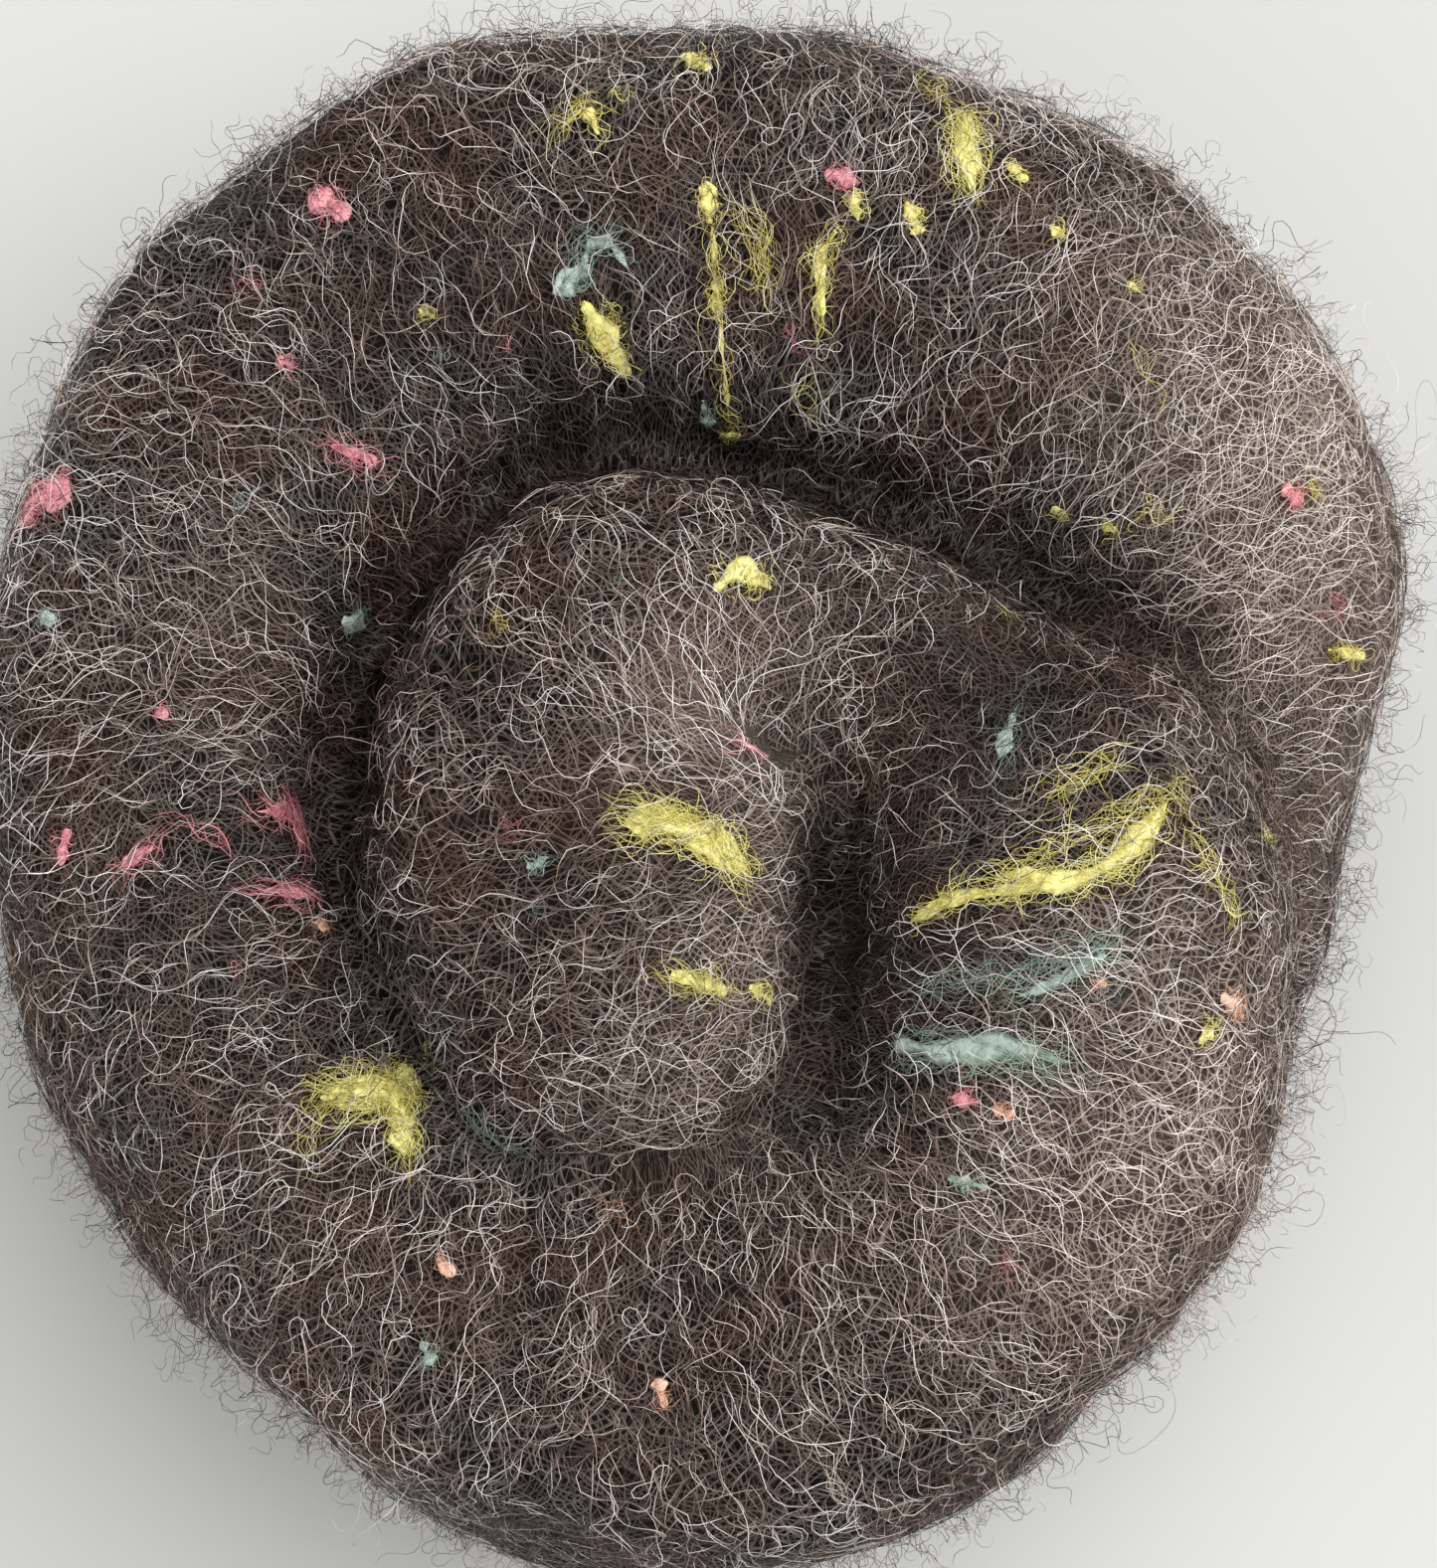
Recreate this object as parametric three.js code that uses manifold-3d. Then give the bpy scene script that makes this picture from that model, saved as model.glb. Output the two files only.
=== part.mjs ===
// A carded wool batt: one thick sheet of loose wool, folded over and rolled into a nest that stands on edge.
// The roll is a single strip. It starts in the middle, turns back on itself once and then runs clockwise
// round the outside. Its top is the fold, which is round, and its foot is flattened by its own weight.
// Millimetres: X to the right, Y away from the viewer, Z up, the origin under the middle of the roll.
import * as THREE from 'three';
import { mergeVertices } from 'three/addons/utils/BufferGeometryUtils.js';
import Module from 'manifold-3d';

// Stations along the strip, from its inner end to its outer end. x and y are the middle of the fold seen
// from above, half is half the strip's thickness there, and crown is the height of the top of the fold.
const STATIONS = [
  { x: -11, y: -37, half: 27, crown: 88 },
  { x: -14, y: -21, half: 30.5, crown: 95 },
  { x: -13.5, y: -4, half: 32, crown: 98 },
  { x: -8.5, y: 13, half: 26, crown: 98 },
  { x: 10, y: 13.5, half: 20.5, crown: 94 },
  { x: 27, y: 5, half: 20.5, crown: 94.5 },
  { x: 40.5, y: -12, half: 30, crown: 98 },
  { x: 44, y: -33, half: 31.5, crown: 96 },
  { x: 31, y: -60, half: 28, crown: 89 },
  { x: 2, y: -74, half: 26.5, crown: 85 },
  { x: -28, y: -69, half: 24.5, crown: 83 },
  { x: -51.5, y: -46.5, half: 23, crown: 80 },
  { x: -67, y: -18, half: 24, crown: 80 },
  { x: -67, y: 15, half: 26.5, crown: 82 },
  { x: -53, y: 44.3, half: 29.8, crown: 85 },
  { x: -25, y: 64, half: 30.5, crown: 88 },
  { x: 10, y: 64.5, half: 31.5, crown: 88 },
  { x: 42, y: 52, half: 31.5, crown: 85 },
  { x: 62.5, y: 33, half: 26.5, crown: 80 },
  { x: 72.5, y: 11, half: 18, crown: 74 },
  { x: 72, y: -8, half: 10.5, crown: 64 },
  { x: 70, y: -27, half: 7.5, crown: 52 },
];

// The section of the strip is a rounded box, widest at its waist and flat where it stands.
const WAIST_SHARE = 0.4;        // height of the widest level, as a share of the crown
const FOLD_POWER = 2.6;         // 2 is an ellipse and more is squarer: the top of the fold
const FOOT_POWER = 2.6;         // the same for the foot
const FOOT_FLATTENED = 5;       // how much of the foot is pressed flat
const INNER_END = 18;           // how far the strip closes like a dome past its first station
const OUTER_END = 12;           // the same past its last station

const EASE = 0.9;               // stations before and after a place that its direction is taken over
const STEPS_PER_STATION = 4;
const END_STEPS = 5;            // steps over each domed end
const LAST_END_TURN = 0.92;     // how far round its dome an end goes before its flat middle
const SECTION_POINTS = 32;
const LENGTHS = 4;              // the strip is lofted in this many lengths, and then joined

const plan = new THREE.CatmullRomCurve3(STATIONS.map(({ x, y }) => new THREE.Vector3(x, y, 0)));
const sizes = new THREE.CatmullRomCurve3(
  STATIONS.map(({ half, crown }) => new THREE.Vector3(half, crown, 0)),
);

// A power curve that keeps the sign of its argument: the sides of a rounded box.
function signedPower(value, power) {
  return Math.sign(value) * Math.abs(value) ** (2 / power);
}

// The strip's direction at a share of its way, eased so that its sections don't cross in a tight bend.
function direction(share) {
  const ease = EASE / (STATIONS.length - 1);
  const behind = plan.getPoint(Math.max(share - ease, 0));
  const ahead = plan.getPoint(Math.min(share + ease, 1));
  return ahead.sub(behind).normalize();
}

// The closed section of the strip at a share of its way, as points in space. An end moves it ahead by
// advance and leaves only a part of it open.
function section({ share, advance = 0, open = 1 }) {
  const along = direction(share);
  const middle = plan.getPoint(share).addScaledVector(along, advance);
  const across = new THREE.Vector3(-along.y, along.x, 0);
  const { x: half, y: crown } = sizes.getPoint(share);
  const waist = crown * WAIST_SHARE;
  const points = [];
  for (let index = 0; index < SECTION_POINTS; index += 1) {
    const angle = (2 * Math.PI * index) / SECTION_POINTS;
    const power = Math.sin(angle) > 0 ? FOLD_POWER : FOOT_POWER;
    const reach = Math.sin(angle) > 0 ? crown - waist : waist + FOOT_FLATTENED;
    const height = waist + reach * signedPower(Math.sin(angle), power) * open;
    const side = half * signedPower(Math.cos(angle), power) * open;
    points.push(middle.clone().addScaledVector(across, side).setZ(Math.max(height, 0)));
  }
  return points;
}

// The places of the sections over a domed end, from the end's full section to its tip.
function endPlaces(share, length) {
  const places = [];
  for (let step = 1; step <= END_STEPS; step += 1) {
    const turn = (Math.PI / 2) * LAST_END_TURN * (step / END_STEPS);
    places.push({ share, advance: length * Math.sin(turn), open: Math.cos(turn) });
  }
  return places;
}

// The places of all sections along the strip, from tip to tip.
function stripPlaces() {
  const steps = (STATIONS.length - 1) * STEPS_PER_STATION;
  const places = endPlaces(0, -INNER_END).reverse();
  for (let step = 0; step <= steps; step += 1) {
    places.push({ share: step / steps });
  }
  return places.concat(endPlaces(1, OUTER_END));
}

// A closed loft through sections, with a fan over each end.
function loft(sections) {
  const positions = [];
  const faces = [];
  sections.forEach((points) => points.forEach(({ x, y, z }) => positions.push(x, y, z)));
  for (let row = 0; row < sections.length - 1; row += 1) {
    for (let index = 0; index < SECTION_POINTS; index += 1) {
      const next = (index + 1) % SECTION_POINTS;
      const here = row * SECTION_POINTS;
      const ahead = here + SECTION_POINTS;
      faces.push(here + index, ahead + next, ahead + index);
      faces.push(here + index, here + next, ahead + next);
    }
  }
  const end = (sections.length - 1) * SECTION_POINTS;
  for (let index = 1; index < SECTION_POINTS - 1; index += 1) {
    faces.push(0, index + 1, index);
    faces.push(end, end + index, end + index + 1);
  }
  const geometry = new THREE.BufferGeometry();
  geometry.setAttribute('position', new THREE.Float32BufferAttribute(positions, 3));
  geometry.setIndex(faces);
  return mergeVertices(geometry);
}

const wasm = await Module();
wasm.setup();

function toSolid(geometry) {
  const vertProperties = new Float32Array(geometry.attributes.position.array);
  const triVerts = new Uint32Array(geometry.index.array);
  return new wasm.Manifold(new wasm.Mesh({ numProp: 3, vertProperties, triVerts }));
}

function toGeometry(solid) {
  const { vertProperties, triVerts } = solid.getMesh();
  const geometry = new THREE.BufferGeometry();
  geometry.setAttribute('position', new THREE.BufferAttribute(vertProperties, 3));
  geometry.setIndex(new THREE.BufferAttribute(triVerts, 1));
  return geometry;
}

// The whole roll: its lengths share a step each, and join there and where neighbouring turns press together.
function rollGeometry() {
  const sections = stripPlaces().map(section);
  const steps = sections.length - 1;
  let roll = null;
  for (let length = 0; length < LENGTHS; length += 1) {
    const first = Math.round((steps * length) / LENGTHS);
    const last = Math.round((steps * (length + 1)) / LENGTHS);
    const solid = toSolid(loft(sections.slice(Math.max(first - 1, 0), last + 1)));
    roll = roll ? roll.add(solid) : solid;
  }
  return toGeometry(roll);
}

const woolMaterial = new THREE.MeshStandardMaterial({ color: 0x6b5c54, roughness: 0.85, metalness: 0 });

const geometry = rollGeometry();
geometry.computeBoundingBox();
const { min, max } = geometry.boundingBox;
geometry.translate(-(min.x + max.x) / 2, -(min.y + max.y) / 2, -min.z);

const wool = new THREE.Mesh(geometry, woolMaterial);
wool.name = 'wool_batt_roll';

const group = new THREE.Group();
group.add(wool);

export default group;
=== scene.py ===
"""A carded wool batt, folded over and rolled into a nest.

The roll is one strip of loose wool with a round fold on top. A soft core holds its form, and crimped fibres
lie over the core, most of them across the fold. Flecks and locks of dyed wool are carded in.
"""
import logging
import math
from dataclasses import dataclass
from enum import Enum
from typing import Any, NamedTuple, Sequence

import bpy
import numpy as np
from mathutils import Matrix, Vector


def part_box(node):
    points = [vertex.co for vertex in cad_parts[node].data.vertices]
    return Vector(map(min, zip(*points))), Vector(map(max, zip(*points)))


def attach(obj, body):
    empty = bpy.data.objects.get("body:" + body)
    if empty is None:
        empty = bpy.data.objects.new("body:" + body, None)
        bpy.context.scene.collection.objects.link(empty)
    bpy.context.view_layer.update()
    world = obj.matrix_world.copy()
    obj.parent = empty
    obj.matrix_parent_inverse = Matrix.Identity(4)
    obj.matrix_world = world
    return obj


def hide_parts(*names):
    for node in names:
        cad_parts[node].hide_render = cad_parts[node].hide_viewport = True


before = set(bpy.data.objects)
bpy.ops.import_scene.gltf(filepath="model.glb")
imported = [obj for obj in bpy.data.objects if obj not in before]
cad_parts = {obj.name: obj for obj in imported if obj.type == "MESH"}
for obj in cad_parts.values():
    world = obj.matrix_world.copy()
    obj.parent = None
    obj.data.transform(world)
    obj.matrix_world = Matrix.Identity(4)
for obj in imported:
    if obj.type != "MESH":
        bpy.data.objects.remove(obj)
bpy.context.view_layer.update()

log = logging.getLogger("wool_batt")

MM = 0.001
NODE = "wool_batt_roll"
BODY = "root"
UV_NAME = "OFBake"
# The core's attribute of painted shade: deep in the creases and under dark patches.
PAINTED_SHADE = "shelter"
# The core's attribute of painted light where patches are pale, partly paler wool.
PALE_AND_PAINTED_LIGHT = "pale"
PHOTO_WIDTH = 1445
PHOTO_HEIGHT = 1577

# A surface is a steep side where the upward part of its outward direction is less than this.
STEEP_BELOW = 0.6
SIDES_DRAWN_IN = 1.3 * MM

# Grid spacings under this one, at the tips of the strip, are taken as this one.
FINEST_STEP = 0.4 * MM

# Shades and warmths stay inside these ends of their ramps.
SHADES = (0.01, 0.98)

Colour = tuple[float, float, float]

class Station(NamedTuple):
    """A place along the strip in millimetres: the middle of the fold from above, half thickness, crown."""

    x: float
    y: float
    half: float
    crown: float


STATIONS = (
    Station(-11, -37, 27, 88),
    Station(-14, -21, 30.5, 95),
    Station(-13.5, -4, 32, 98),
    Station(-8.5, 13, 26, 98),
    Station(10, 13.5, 20.5, 94),
    Station(27, 5, 20.5, 94.5),
    Station(40.5, -12, 30, 98),
    Station(43, -33, 30.5, 96),
    Station(29.2, -58.3, 28.2, 89),
    Station(2, -71.8, 28.7, 85),
    Station(-27.2, -67, 26.6, 83),
    Station(-50.8, -45.9, 24.3, 80),
    Station(-67, -18, 24, 80),
    Station(-67, 15, 26.5, 82),
    Station(-53, 44.3, 29.8, 85),
    Station(-25, 64, 30.5, 88),
    Station(10, 64.5, 31.5, 88),
    Station(42, 52, 31.5, 85),
    Station(62.5, 33, 26.5, 80),
    Station(71.2, 11, 16.6, 74),
    Station(71.2, -8, 9.8, 64),
    Station(69.6, -27, 7.2, 52),
)


def unit(vectors: np.ndarray) -> np.ndarray:
    """Scales vectors, along the last axis, to length one."""
    return vectors / np.maximum(np.linalg.norm(vectors, axis=-1, keepdims=True), 1e-12)


def spline(knots: np.ndarray, share: np.ndarray) -> np.ndarray:
    """A smooth curve through knots.

    Between two knots the curve is a cubic. Its slope at a knot weighs the chords on both sides by the square
    roots of their lengths, as a centripetal Catmull-Rom curve does.

    Args:
        knots: the points that the curve passes, one a row.
        share: places on the curve, from 0 at the first knot to 1 at the last.

    Returns:
        The points at those places, one a row.
    """
    ends = np.vstack([2 * knots[0] - knots[1], knots, 2 * knots[-1] - knots[-2]])
    place = np.clip(share, 0, 1) * (len(knots) - 1)
    index = np.minimum(place.astype(int), len(knots) - 2)
    t = (place - index)[:, None]
    p0, p1, p2, p3 = (ends[index + k] for k in range(4))
    d0, d1, d2 = (
        np.sqrt(np.maximum(np.linalg.norm(b - a, axis=1, keepdims=True), 1e-9))
        for a, b in ((p0, p1), (p1, p2), (p2, p3))
    )
    slope1 = ((p1 - p0) / d0 - (p2 - p0) / (d0 + d1) + (p2 - p1) / d1) * d1
    slope2 = ((p2 - p1) / d1 - (p3 - p1) / (d1 + d2) + (p3 - p2) / d2) * d1
    square = 3 * (p2 - p1) - 2 * slope1 - slope2
    cube = 2 * (p1 - p2) + slope1 + slope2
    return p1 + slope1 * t + square * t**2 + cube * t**3


def signed_power(value: np.ndarray, power: float | np.ndarray) -> np.ndarray:
    """The side of a rounded box: value to the power 2 over power, with its sign kept."""
    return np.sign(value) * np.abs(value) ** (2 / power)


@dataclass(frozen=True)
class Strip:
    """The folded strip that the roll is wound from, in metres, with the section that it has all along."""

    waist_share: float = 0.4
    fold_power: float = 2.6
    foot_power: float = 2.6
    foot_flattened: float = 5 * MM
    inner_end: float = 17 * MM
    inner_end_fullness: float = 0.62
    outer_end: float = 12 * MM
    last_end_turn: float = 0.97
    ease: float = 0.9
    body_rows: int = 560
    end_rows: int = 22
    columns: int = 168

    def plan(self, share: np.ndarray) -> np.ndarray:
        """The middle of the fold from above at shares of the strip's way."""
        return spline(np.array([(s.x, s.y) for s in STATIONS]) * MM, share)

    def sizes(self, share: np.ndarray) -> np.ndarray:
        """Half thickness and crown at shares of the strip's way, as two columns."""
        return spline(np.array([(s.half, s.crown) for s in STATIONS]) * MM, share)

    def direction(self, share: np.ndarray) -> np.ndarray:
        """The strip's direction from above, taken over a stretch so that sections don't cross in a bend."""
        reach = self.ease / (len(STATIONS) - 1)
        ahead = self.plan(np.minimum(share + reach, 1))
        return unit(ahead - self.plan(np.maximum(share - reach, 0)))

    def places(self) -> tuple[np.ndarray, np.ndarray, np.ndarray]:
        """The rows of the surface from tip to tip.

        Returns:
            Each row's share of the way, how far it lies past that place, and how much of its section is open.
        """
        turn = math.pi / 2 * self.last_end_turn * np.arange(1, self.end_rows + 1) / self.end_rows
        body = np.linspace(0, 1, self.body_rows)
        none = np.zeros(self.end_rows)
        share = np.concatenate([none, body, none + 1])
        advance = np.concatenate(
            [-self.inner_end * np.sin(turn[::-1]), body * 0, self.outer_end * np.sin(turn)]
        )
        inner = np.cos(turn[::-1]) ** self.inner_end_fullness
        still_open = np.concatenate([inner, body * 0 + 1, np.cos(turn)])
        return share, advance, still_open

    def points(self) -> np.ndarray:
        """The strip's surface.

        A section is a rounded box: its side is half times cos(angle) and its height is waist plus reach
        times sin(angle), both as signed powers, and what would lie below the floor is pressed flat on it.
        The points of each section are then spaced evenly round it.

        Returns:
            Points as rows along the strip by columns round the section by three.
        """
        share, advance, still_open = self.places()
        along = self.direction(share)
        across = np.stack([-along[:, 1], along[:, 0]], axis=1)
        middle = self.plan(share) + along * advance[:, None]
        half, crown = self.sizes(share).T[:, :, None]
        angle = np.linspace(0, 2 * math.pi, 4 * self.columns + 1)[None, :] - math.pi / 2
        above = np.sin(angle) > 0
        power = np.where(above, self.fold_power, self.foot_power)
        waist = crown * self.waist_share
        reach = np.where(above, crown - waist, waist + self.foot_flattened)
        side = half * signed_power(np.cos(angle), power) * still_open[:, None]
        height = np.maximum(waist + reach * signed_power(np.sin(angle), power) * still_open[:, None], 0)
        step = np.hypot(np.diff(side, axis=1), np.diff(height, axis=1))
        length = np.concatenate([np.zeros((len(side), 1)), np.cumsum(step, axis=1)], axis=1)
        even = np.linspace(0, 1, self.columns, endpoint=False)
        side, height = (
            np.array([np.interp(even * run[-1], run, row) for run, row in zip(length, part)])
            for part in (side, height)
        )
        plan = middle[:, None, :] + across[:, None, :] * side[:, :, None]
        return np.concatenate([plan, height[:, :, None]], axis=2)


@dataclass(frozen=True)
class Lumps:
    """The soft unevenness of the wool: a sum of plane waves of many lengths and directions."""

    seed: int
    count: int
    shortest: float
    longest: float
    height: float

    def at(self, points: np.ndarray) -> np.ndarray:
        """How far the surface is raised at points."""
        rng = np.random.default_rng(self.seed)
        heading = unit(rng.normal(size=(self.count, 3)))
        wave = heading * (2 * math.pi / rng.uniform(self.shortest, self.longest, (self.count, 1)))
        phase = rng.uniform(0, 2 * math.pi, self.count)
        return self.height * np.sin(points @ wave.T + phase).sum(axis=-1) / math.sqrt(self.count)


class Surface:
    """The strip's surface as a grid that can be read at any place, with its lumps raised on it.

    Rows within same_turn of each other are taken as one turn of the strip where a pixel is looked up, and
    rows within own_turn where a point's depth in other turns is. A pixel is seen by the grid points within
    seen_within pixels of it. The measure of what lies outside every turn is far_outside, and points are
    worked out at_once.
    """

    same_turn: int = 70
    own_turn: int = 90
    seen_within: float = 14
    far_outside: float = 9.0
    at_once: int = 4000

    def __init__(self, strip: Strip, lumps: Lumps) -> None:
        """Works out the grid, its outward directions and its spacing."""
        plain = strip.points()
        shift = np.array(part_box(NODE)[0]) - plain.reshape(-1, 3).min(axis=0)
        shift[2] = 0
        self.strip = strip
        self.lumps = lumps
        self.plain = plain + shift
        along = np.gradient(self.plain, axis=0)
        wrapped = np.concatenate([self.plain[:, -1:], self.plain, self.plain[:, :1]], axis=1)
        around = (wrapped[:, 2:] - wrapped[:, :-2]) / 2
        self.out = unit(np.cross(around, along))
        self.points = self.plain + self.out * self.raised_by(self.plain, self.out)[..., None]
        self.points[..., 2] = np.maximum(self.points[..., 2], 0)
        self.row_step = np.linalg.norm(along, axis=-1)
        self.column_step = np.linalg.norm(around, axis=-1)
        self.rows, self.columns = plain.shape[:2]
        share, advance, _ = strip.places()
        self.middle = strip.plan(share) + strip.direction(share) * advance[:, None] + shift[:2]
        self.along = strip.direction(share)
        self.sizes = strip.sizes(share)
        run = np.linalg.norm(np.diff(self.middle, axis=0), axis=1)
        self.travelled = np.concatenate([[0], np.cumsum(run)])
        self.shelter = self.sheltered()

    def raised_by(self, points: np.ndarray, out: np.ndarray) -> np.ndarray:
        """How far points are raised: by the lumps, less what draws the steep sides in under their curls."""
        steep = np.clip(1 - np.abs(out[..., 2]) / STEEP_BELOW, 0, 1)
        return self.lumps.at(points) - SIDES_DRAWN_IN * steep

    def sheltered(self) -> np.ndarray:
        """Works out the shelter at some of the grid points, which share it with their neighbours.

        Returns:
            The shelter by row and column.
        """
        rows = np.arange(0, self.rows, 3)
        part = (slice(0, None, 3), slice(0, None, 2))
        points, out = self.plain[part].reshape(-1, 3), self.out[part].reshape(-1, 3)
        every = np.repeat(rows, self.plain[part].shape[1])
        shelter = self.shelter_of(points, out, every).reshape(len(rows), -1)
        wide = np.repeat(np.repeat(shelter, 3, axis=0), 2, axis=1)
        return wide[: self.rows, : self.columns]

    def read(self, grid: np.ndarray, row: np.ndarray, column: np.ndarray) -> np.ndarray:
        """Reads a grid between its points.

        Args:
            grid: values by row and column.
            row: places along the strip, in rows.
            column: places round the section, in columns, past the last of which the first comes again.

        Returns:
            The values there, blended from the four grid points around each place.
        """
        row = np.clip(row, 0, self.rows - 1.001)
        r, c = np.floor(row).astype(int), np.floor(column).astype(int)
        fr, fc = row - r, column - c
        if grid.ndim == 3:
            fr, fc = fr[..., None], fc[..., None]
        c0, c1 = c % self.columns, (c + 1) % self.columns
        near = grid[r, c0] * (1 - fc) + grid[r, c1] * fc
        far = grid[r + 1, c0] * (1 - fc) + grid[r + 1, c1] * fc
        return near * (1 - fr) + far * fr

    def seen_at(
        self, view: "PhotoView", wanted: np.ndarray, near: float | None = None
    ) -> tuple[np.ndarray, np.ndarray]:
        """Finds the places on the surface that a view sees at given pixels.

        Of the grid points that are seen near a pixel, the one nearest to the camera is taken, and the place
        is then moved between the grid points by the slopes of their pixels.

        Args:
            view: the camera over the roll.
            wanted: pixels, one a row.
            near: a row that the places lie in the same turn with, or nothing for any turn.

        Returns:
            Rows and columns, with their parts.
        """
        pixels = view.pixels(self.points)
        depth = ((view.place() - self.points) @ view.back()).ravel()
        hidden = (self.out @ view.back()).ravel() < 0.05
        if near is not None:
            other = np.abs(np.arange(self.rows) - near) > self.same_turn
            hidden |= np.repeat(other, self.columns)
        off = np.linalg.norm(pixels.reshape(1, -1, 2) - wanted[:, None, :], axis=2)
        cost = np.where(off > self.seen_within, 1 + off, depth[None]) + hidden[None] * 1e6
        row, column = np.divmod(cost.argmin(axis=1), self.columns)
        row = np.clip(row, 1, self.rows - 2)
        by_row = (pixels[row + 1, column] - pixels[row - 1, column]) / 2
        by_column = pixels[row, (column + 1) % self.columns] - pixels[row, column - 1]
        slopes = np.stack([by_row, by_column / 2], axis=-1)
        rest = (np.linalg.pinv(slopes, rcond=0.2) @ (wanted - pixels[row, column])[..., None])[..., 0]
        rest = np.clip(rest, -1.5, 1.5)
        return row + rest[:, 0], column + rest[:, 1]

    def abreast(self, points: np.ndarray, rows: np.ndarray) -> tuple[np.ndarray, np.ndarray]:
        """Finds where points lie from above, seen from rows of the strip.

        Args:
            points: the points, along the last axis.
            rows: a row for each point, or rows that broadcast against the points.

        Returns:
            How far each point lies ahead of its row, and how far to the side.
        """
        away, along = points[..., :2] - self.middle[rows], self.along[rows]
        side = away[..., 1] * along[..., 0] - away[..., 0] * along[..., 1]
        return (away * along).sum(axis=-1), side

    def depth_in_roll(self, points: np.ndarray, rows: np.ndarray) -> np.ndarray:
        """How deep points lie in other turns of the strip.

        A point isn't tested against the rows near its own.

        Args:
            points: the points, one a row.
            rows: the row of the strip that each point belongs to.

        Returns:
            The least measure of each point in the sections of other turns.
        """
        every = np.arange(0, self.rows, 3)
        least = np.full(len(points), self.far_outside)
        spacing = np.gradient(self.travelled)[every] * 3
        for start in range(0, len(points), self.at_once):
            part = slice(start, start + self.at_once)
            ahead, side = self.abreast(points[part, None], every[None])
            measure = self.measure(side, points[part, None, 2], every[None])
            mine = np.abs(rows[part, None] - every[None]) < self.own_turn
            beyond = np.abs(ahead) > spacing[None] + 2 * MM
            least[part] = np.where(mine | beyond, self.far_outside, measure).min(axis=1)
        return least

    def shelter_of(self, points: np.ndarray, out: np.ndarray, rows: np.ndarray) -> np.ndarray:
        """How far other turns of the strip close in on points.

        Args:
            points: points on the surface, one a row.
            out: the outward direction at each.
            rows: the row of the strip that each belongs to.

        Returns:
            From 0 in the open to 1 deep in a crease, and less where the crease is shallow.
        """
        free = np.zeros(len(points))
        for distance in (3 * MM, 7 * MM, 12 * MM):
            measure = self.depth_in_roll(points + out * distance, rows)
            free += np.clip((measure - 1.0) / 0.35, 0, 1) / 3
        sunk = (self.sizes[rows, 1] - points[:, 2] - 5 * MM) / (26 * MM)
        return (1 - free) * np.clip(sunk, 0.1, 1)

    def measure(self, side: np.ndarray, height: np.ndarray, rows: np.ndarray) -> np.ndarray:
        """Measures how deep places lie in the strip's sections.

        The measure is the sum of the side over half and the height over reach, each to the section's power.

        Args:
            side: how far each place lies to the side of its section's middle.
            height: how far each lies above the floor.
            rows: the row of each one's section.

        Returns:
            The measure of each place: 1 on the surface and less inside.
        """
        half, crown = self.sizes[rows, 0], self.sizes[rows, 1]
        waist = crown * self.strip.waist_share
        reach = np.where(height > waist, crown - waist, waist + self.strip.foot_flattened)
        power = self.strip.fold_power
        return (np.abs(side) / half) ** power + (np.abs(height - waist) / reach) ** power

    def places_of(self, points: np.ndarray) -> tuple[np.ndarray, np.ndarray, np.ndarray]:
        """Finds where points near the roll's surface lie on the strip.

        Of all sections, a point belongs to the one that it is nearest to being abreast of and on.

        Args:
            points: the points, one a row.

        Returns:
            The way travelled along the strip to each point, its angle round the section from the foot, and
            its row.
        """
        row = np.zeros(len(points), int)
        rows = np.arange(self.rows)[None]
        for start in range(0, len(points), self.at_once):
            part = slice(start, start + self.at_once)
            ahead, side = self.abreast(points[part, None], rows)
            off = np.abs(self.measure(side, points[part, None, 2], rows) - 1)
            row[part] = np.argmin((ahead / (3 * MM)) ** 2 + (off * 4) ** 2, axis=1)
        return (*self.place_in(points, row), row)

    def place_in(self, points: np.ndarray, rows: np.ndarray) -> tuple[np.ndarray, np.ndarray]:
        """Finds where points lie on the strip, each seen from a row of its own.

        Args:
            points: the points, one a row.
            rows: the row of the strip for each.

        Returns:
            The way travelled along the strip to each point, and its angle round the section from the foot.
        """
        ahead, side = self.abreast(points, rows)
        half, crown = self.sizes[rows].T
        waist = crown * self.strip.waist_share
        angle = np.arctan2((points[:, 2] - waist) / (crown - waist), side / half)
        way = self.travelled[rows] + ahead
        return way, (angle + math.pi / 2) % (2 * math.pi)


class Term:
    """A socket that takes part in arithmetic: each operation adds a Math node and gives its result."""

    def __init__(self, board: "Board", socket: bpy.types.NodeSocket) -> None:
        """Keeps the board that the socket is on."""
        self.board = board
        self.socket = socket

    def math(self, operation: str, *others: "Term | float", clamp: bool = False) -> "Term":
        """Adds one Math node that reads this socket first."""
        return self.board.node(
            "ShaderNodeMath", {"operation": operation, "use_clamp": clamp}, dict(enumerate([self, *others]))
        )

    def __add__(self, other: "Term | float") -> "Term":
        """This plus other."""
        return self.math("ADD", other)

    def __sub__(self, other: "Term | float") -> "Term":
        """This less other."""
        return self.math("SUBTRACT", other)

    def __rsub__(self, other: float) -> "Term":
        """A number less this."""
        return self.board.node("ShaderNodeMath", {"operation": "SUBTRACT"}, {0: other, 1: self})

    def __mul__(self, other: "Term | float") -> "Term":
        """This times other."""
        return self.math("MULTIPLY", other)

    __radd__ = __add__
    __rmul__ = __mul__

    def clamped(self) -> "Term":
        """This kept between 0 and 1."""
        return self.math("ADD", 0.0, clamp=True)

    def most(self, other: "Term | float") -> "Term":
        """The larger of this and other."""
        return self.math("MAXIMUM", other)


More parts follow.
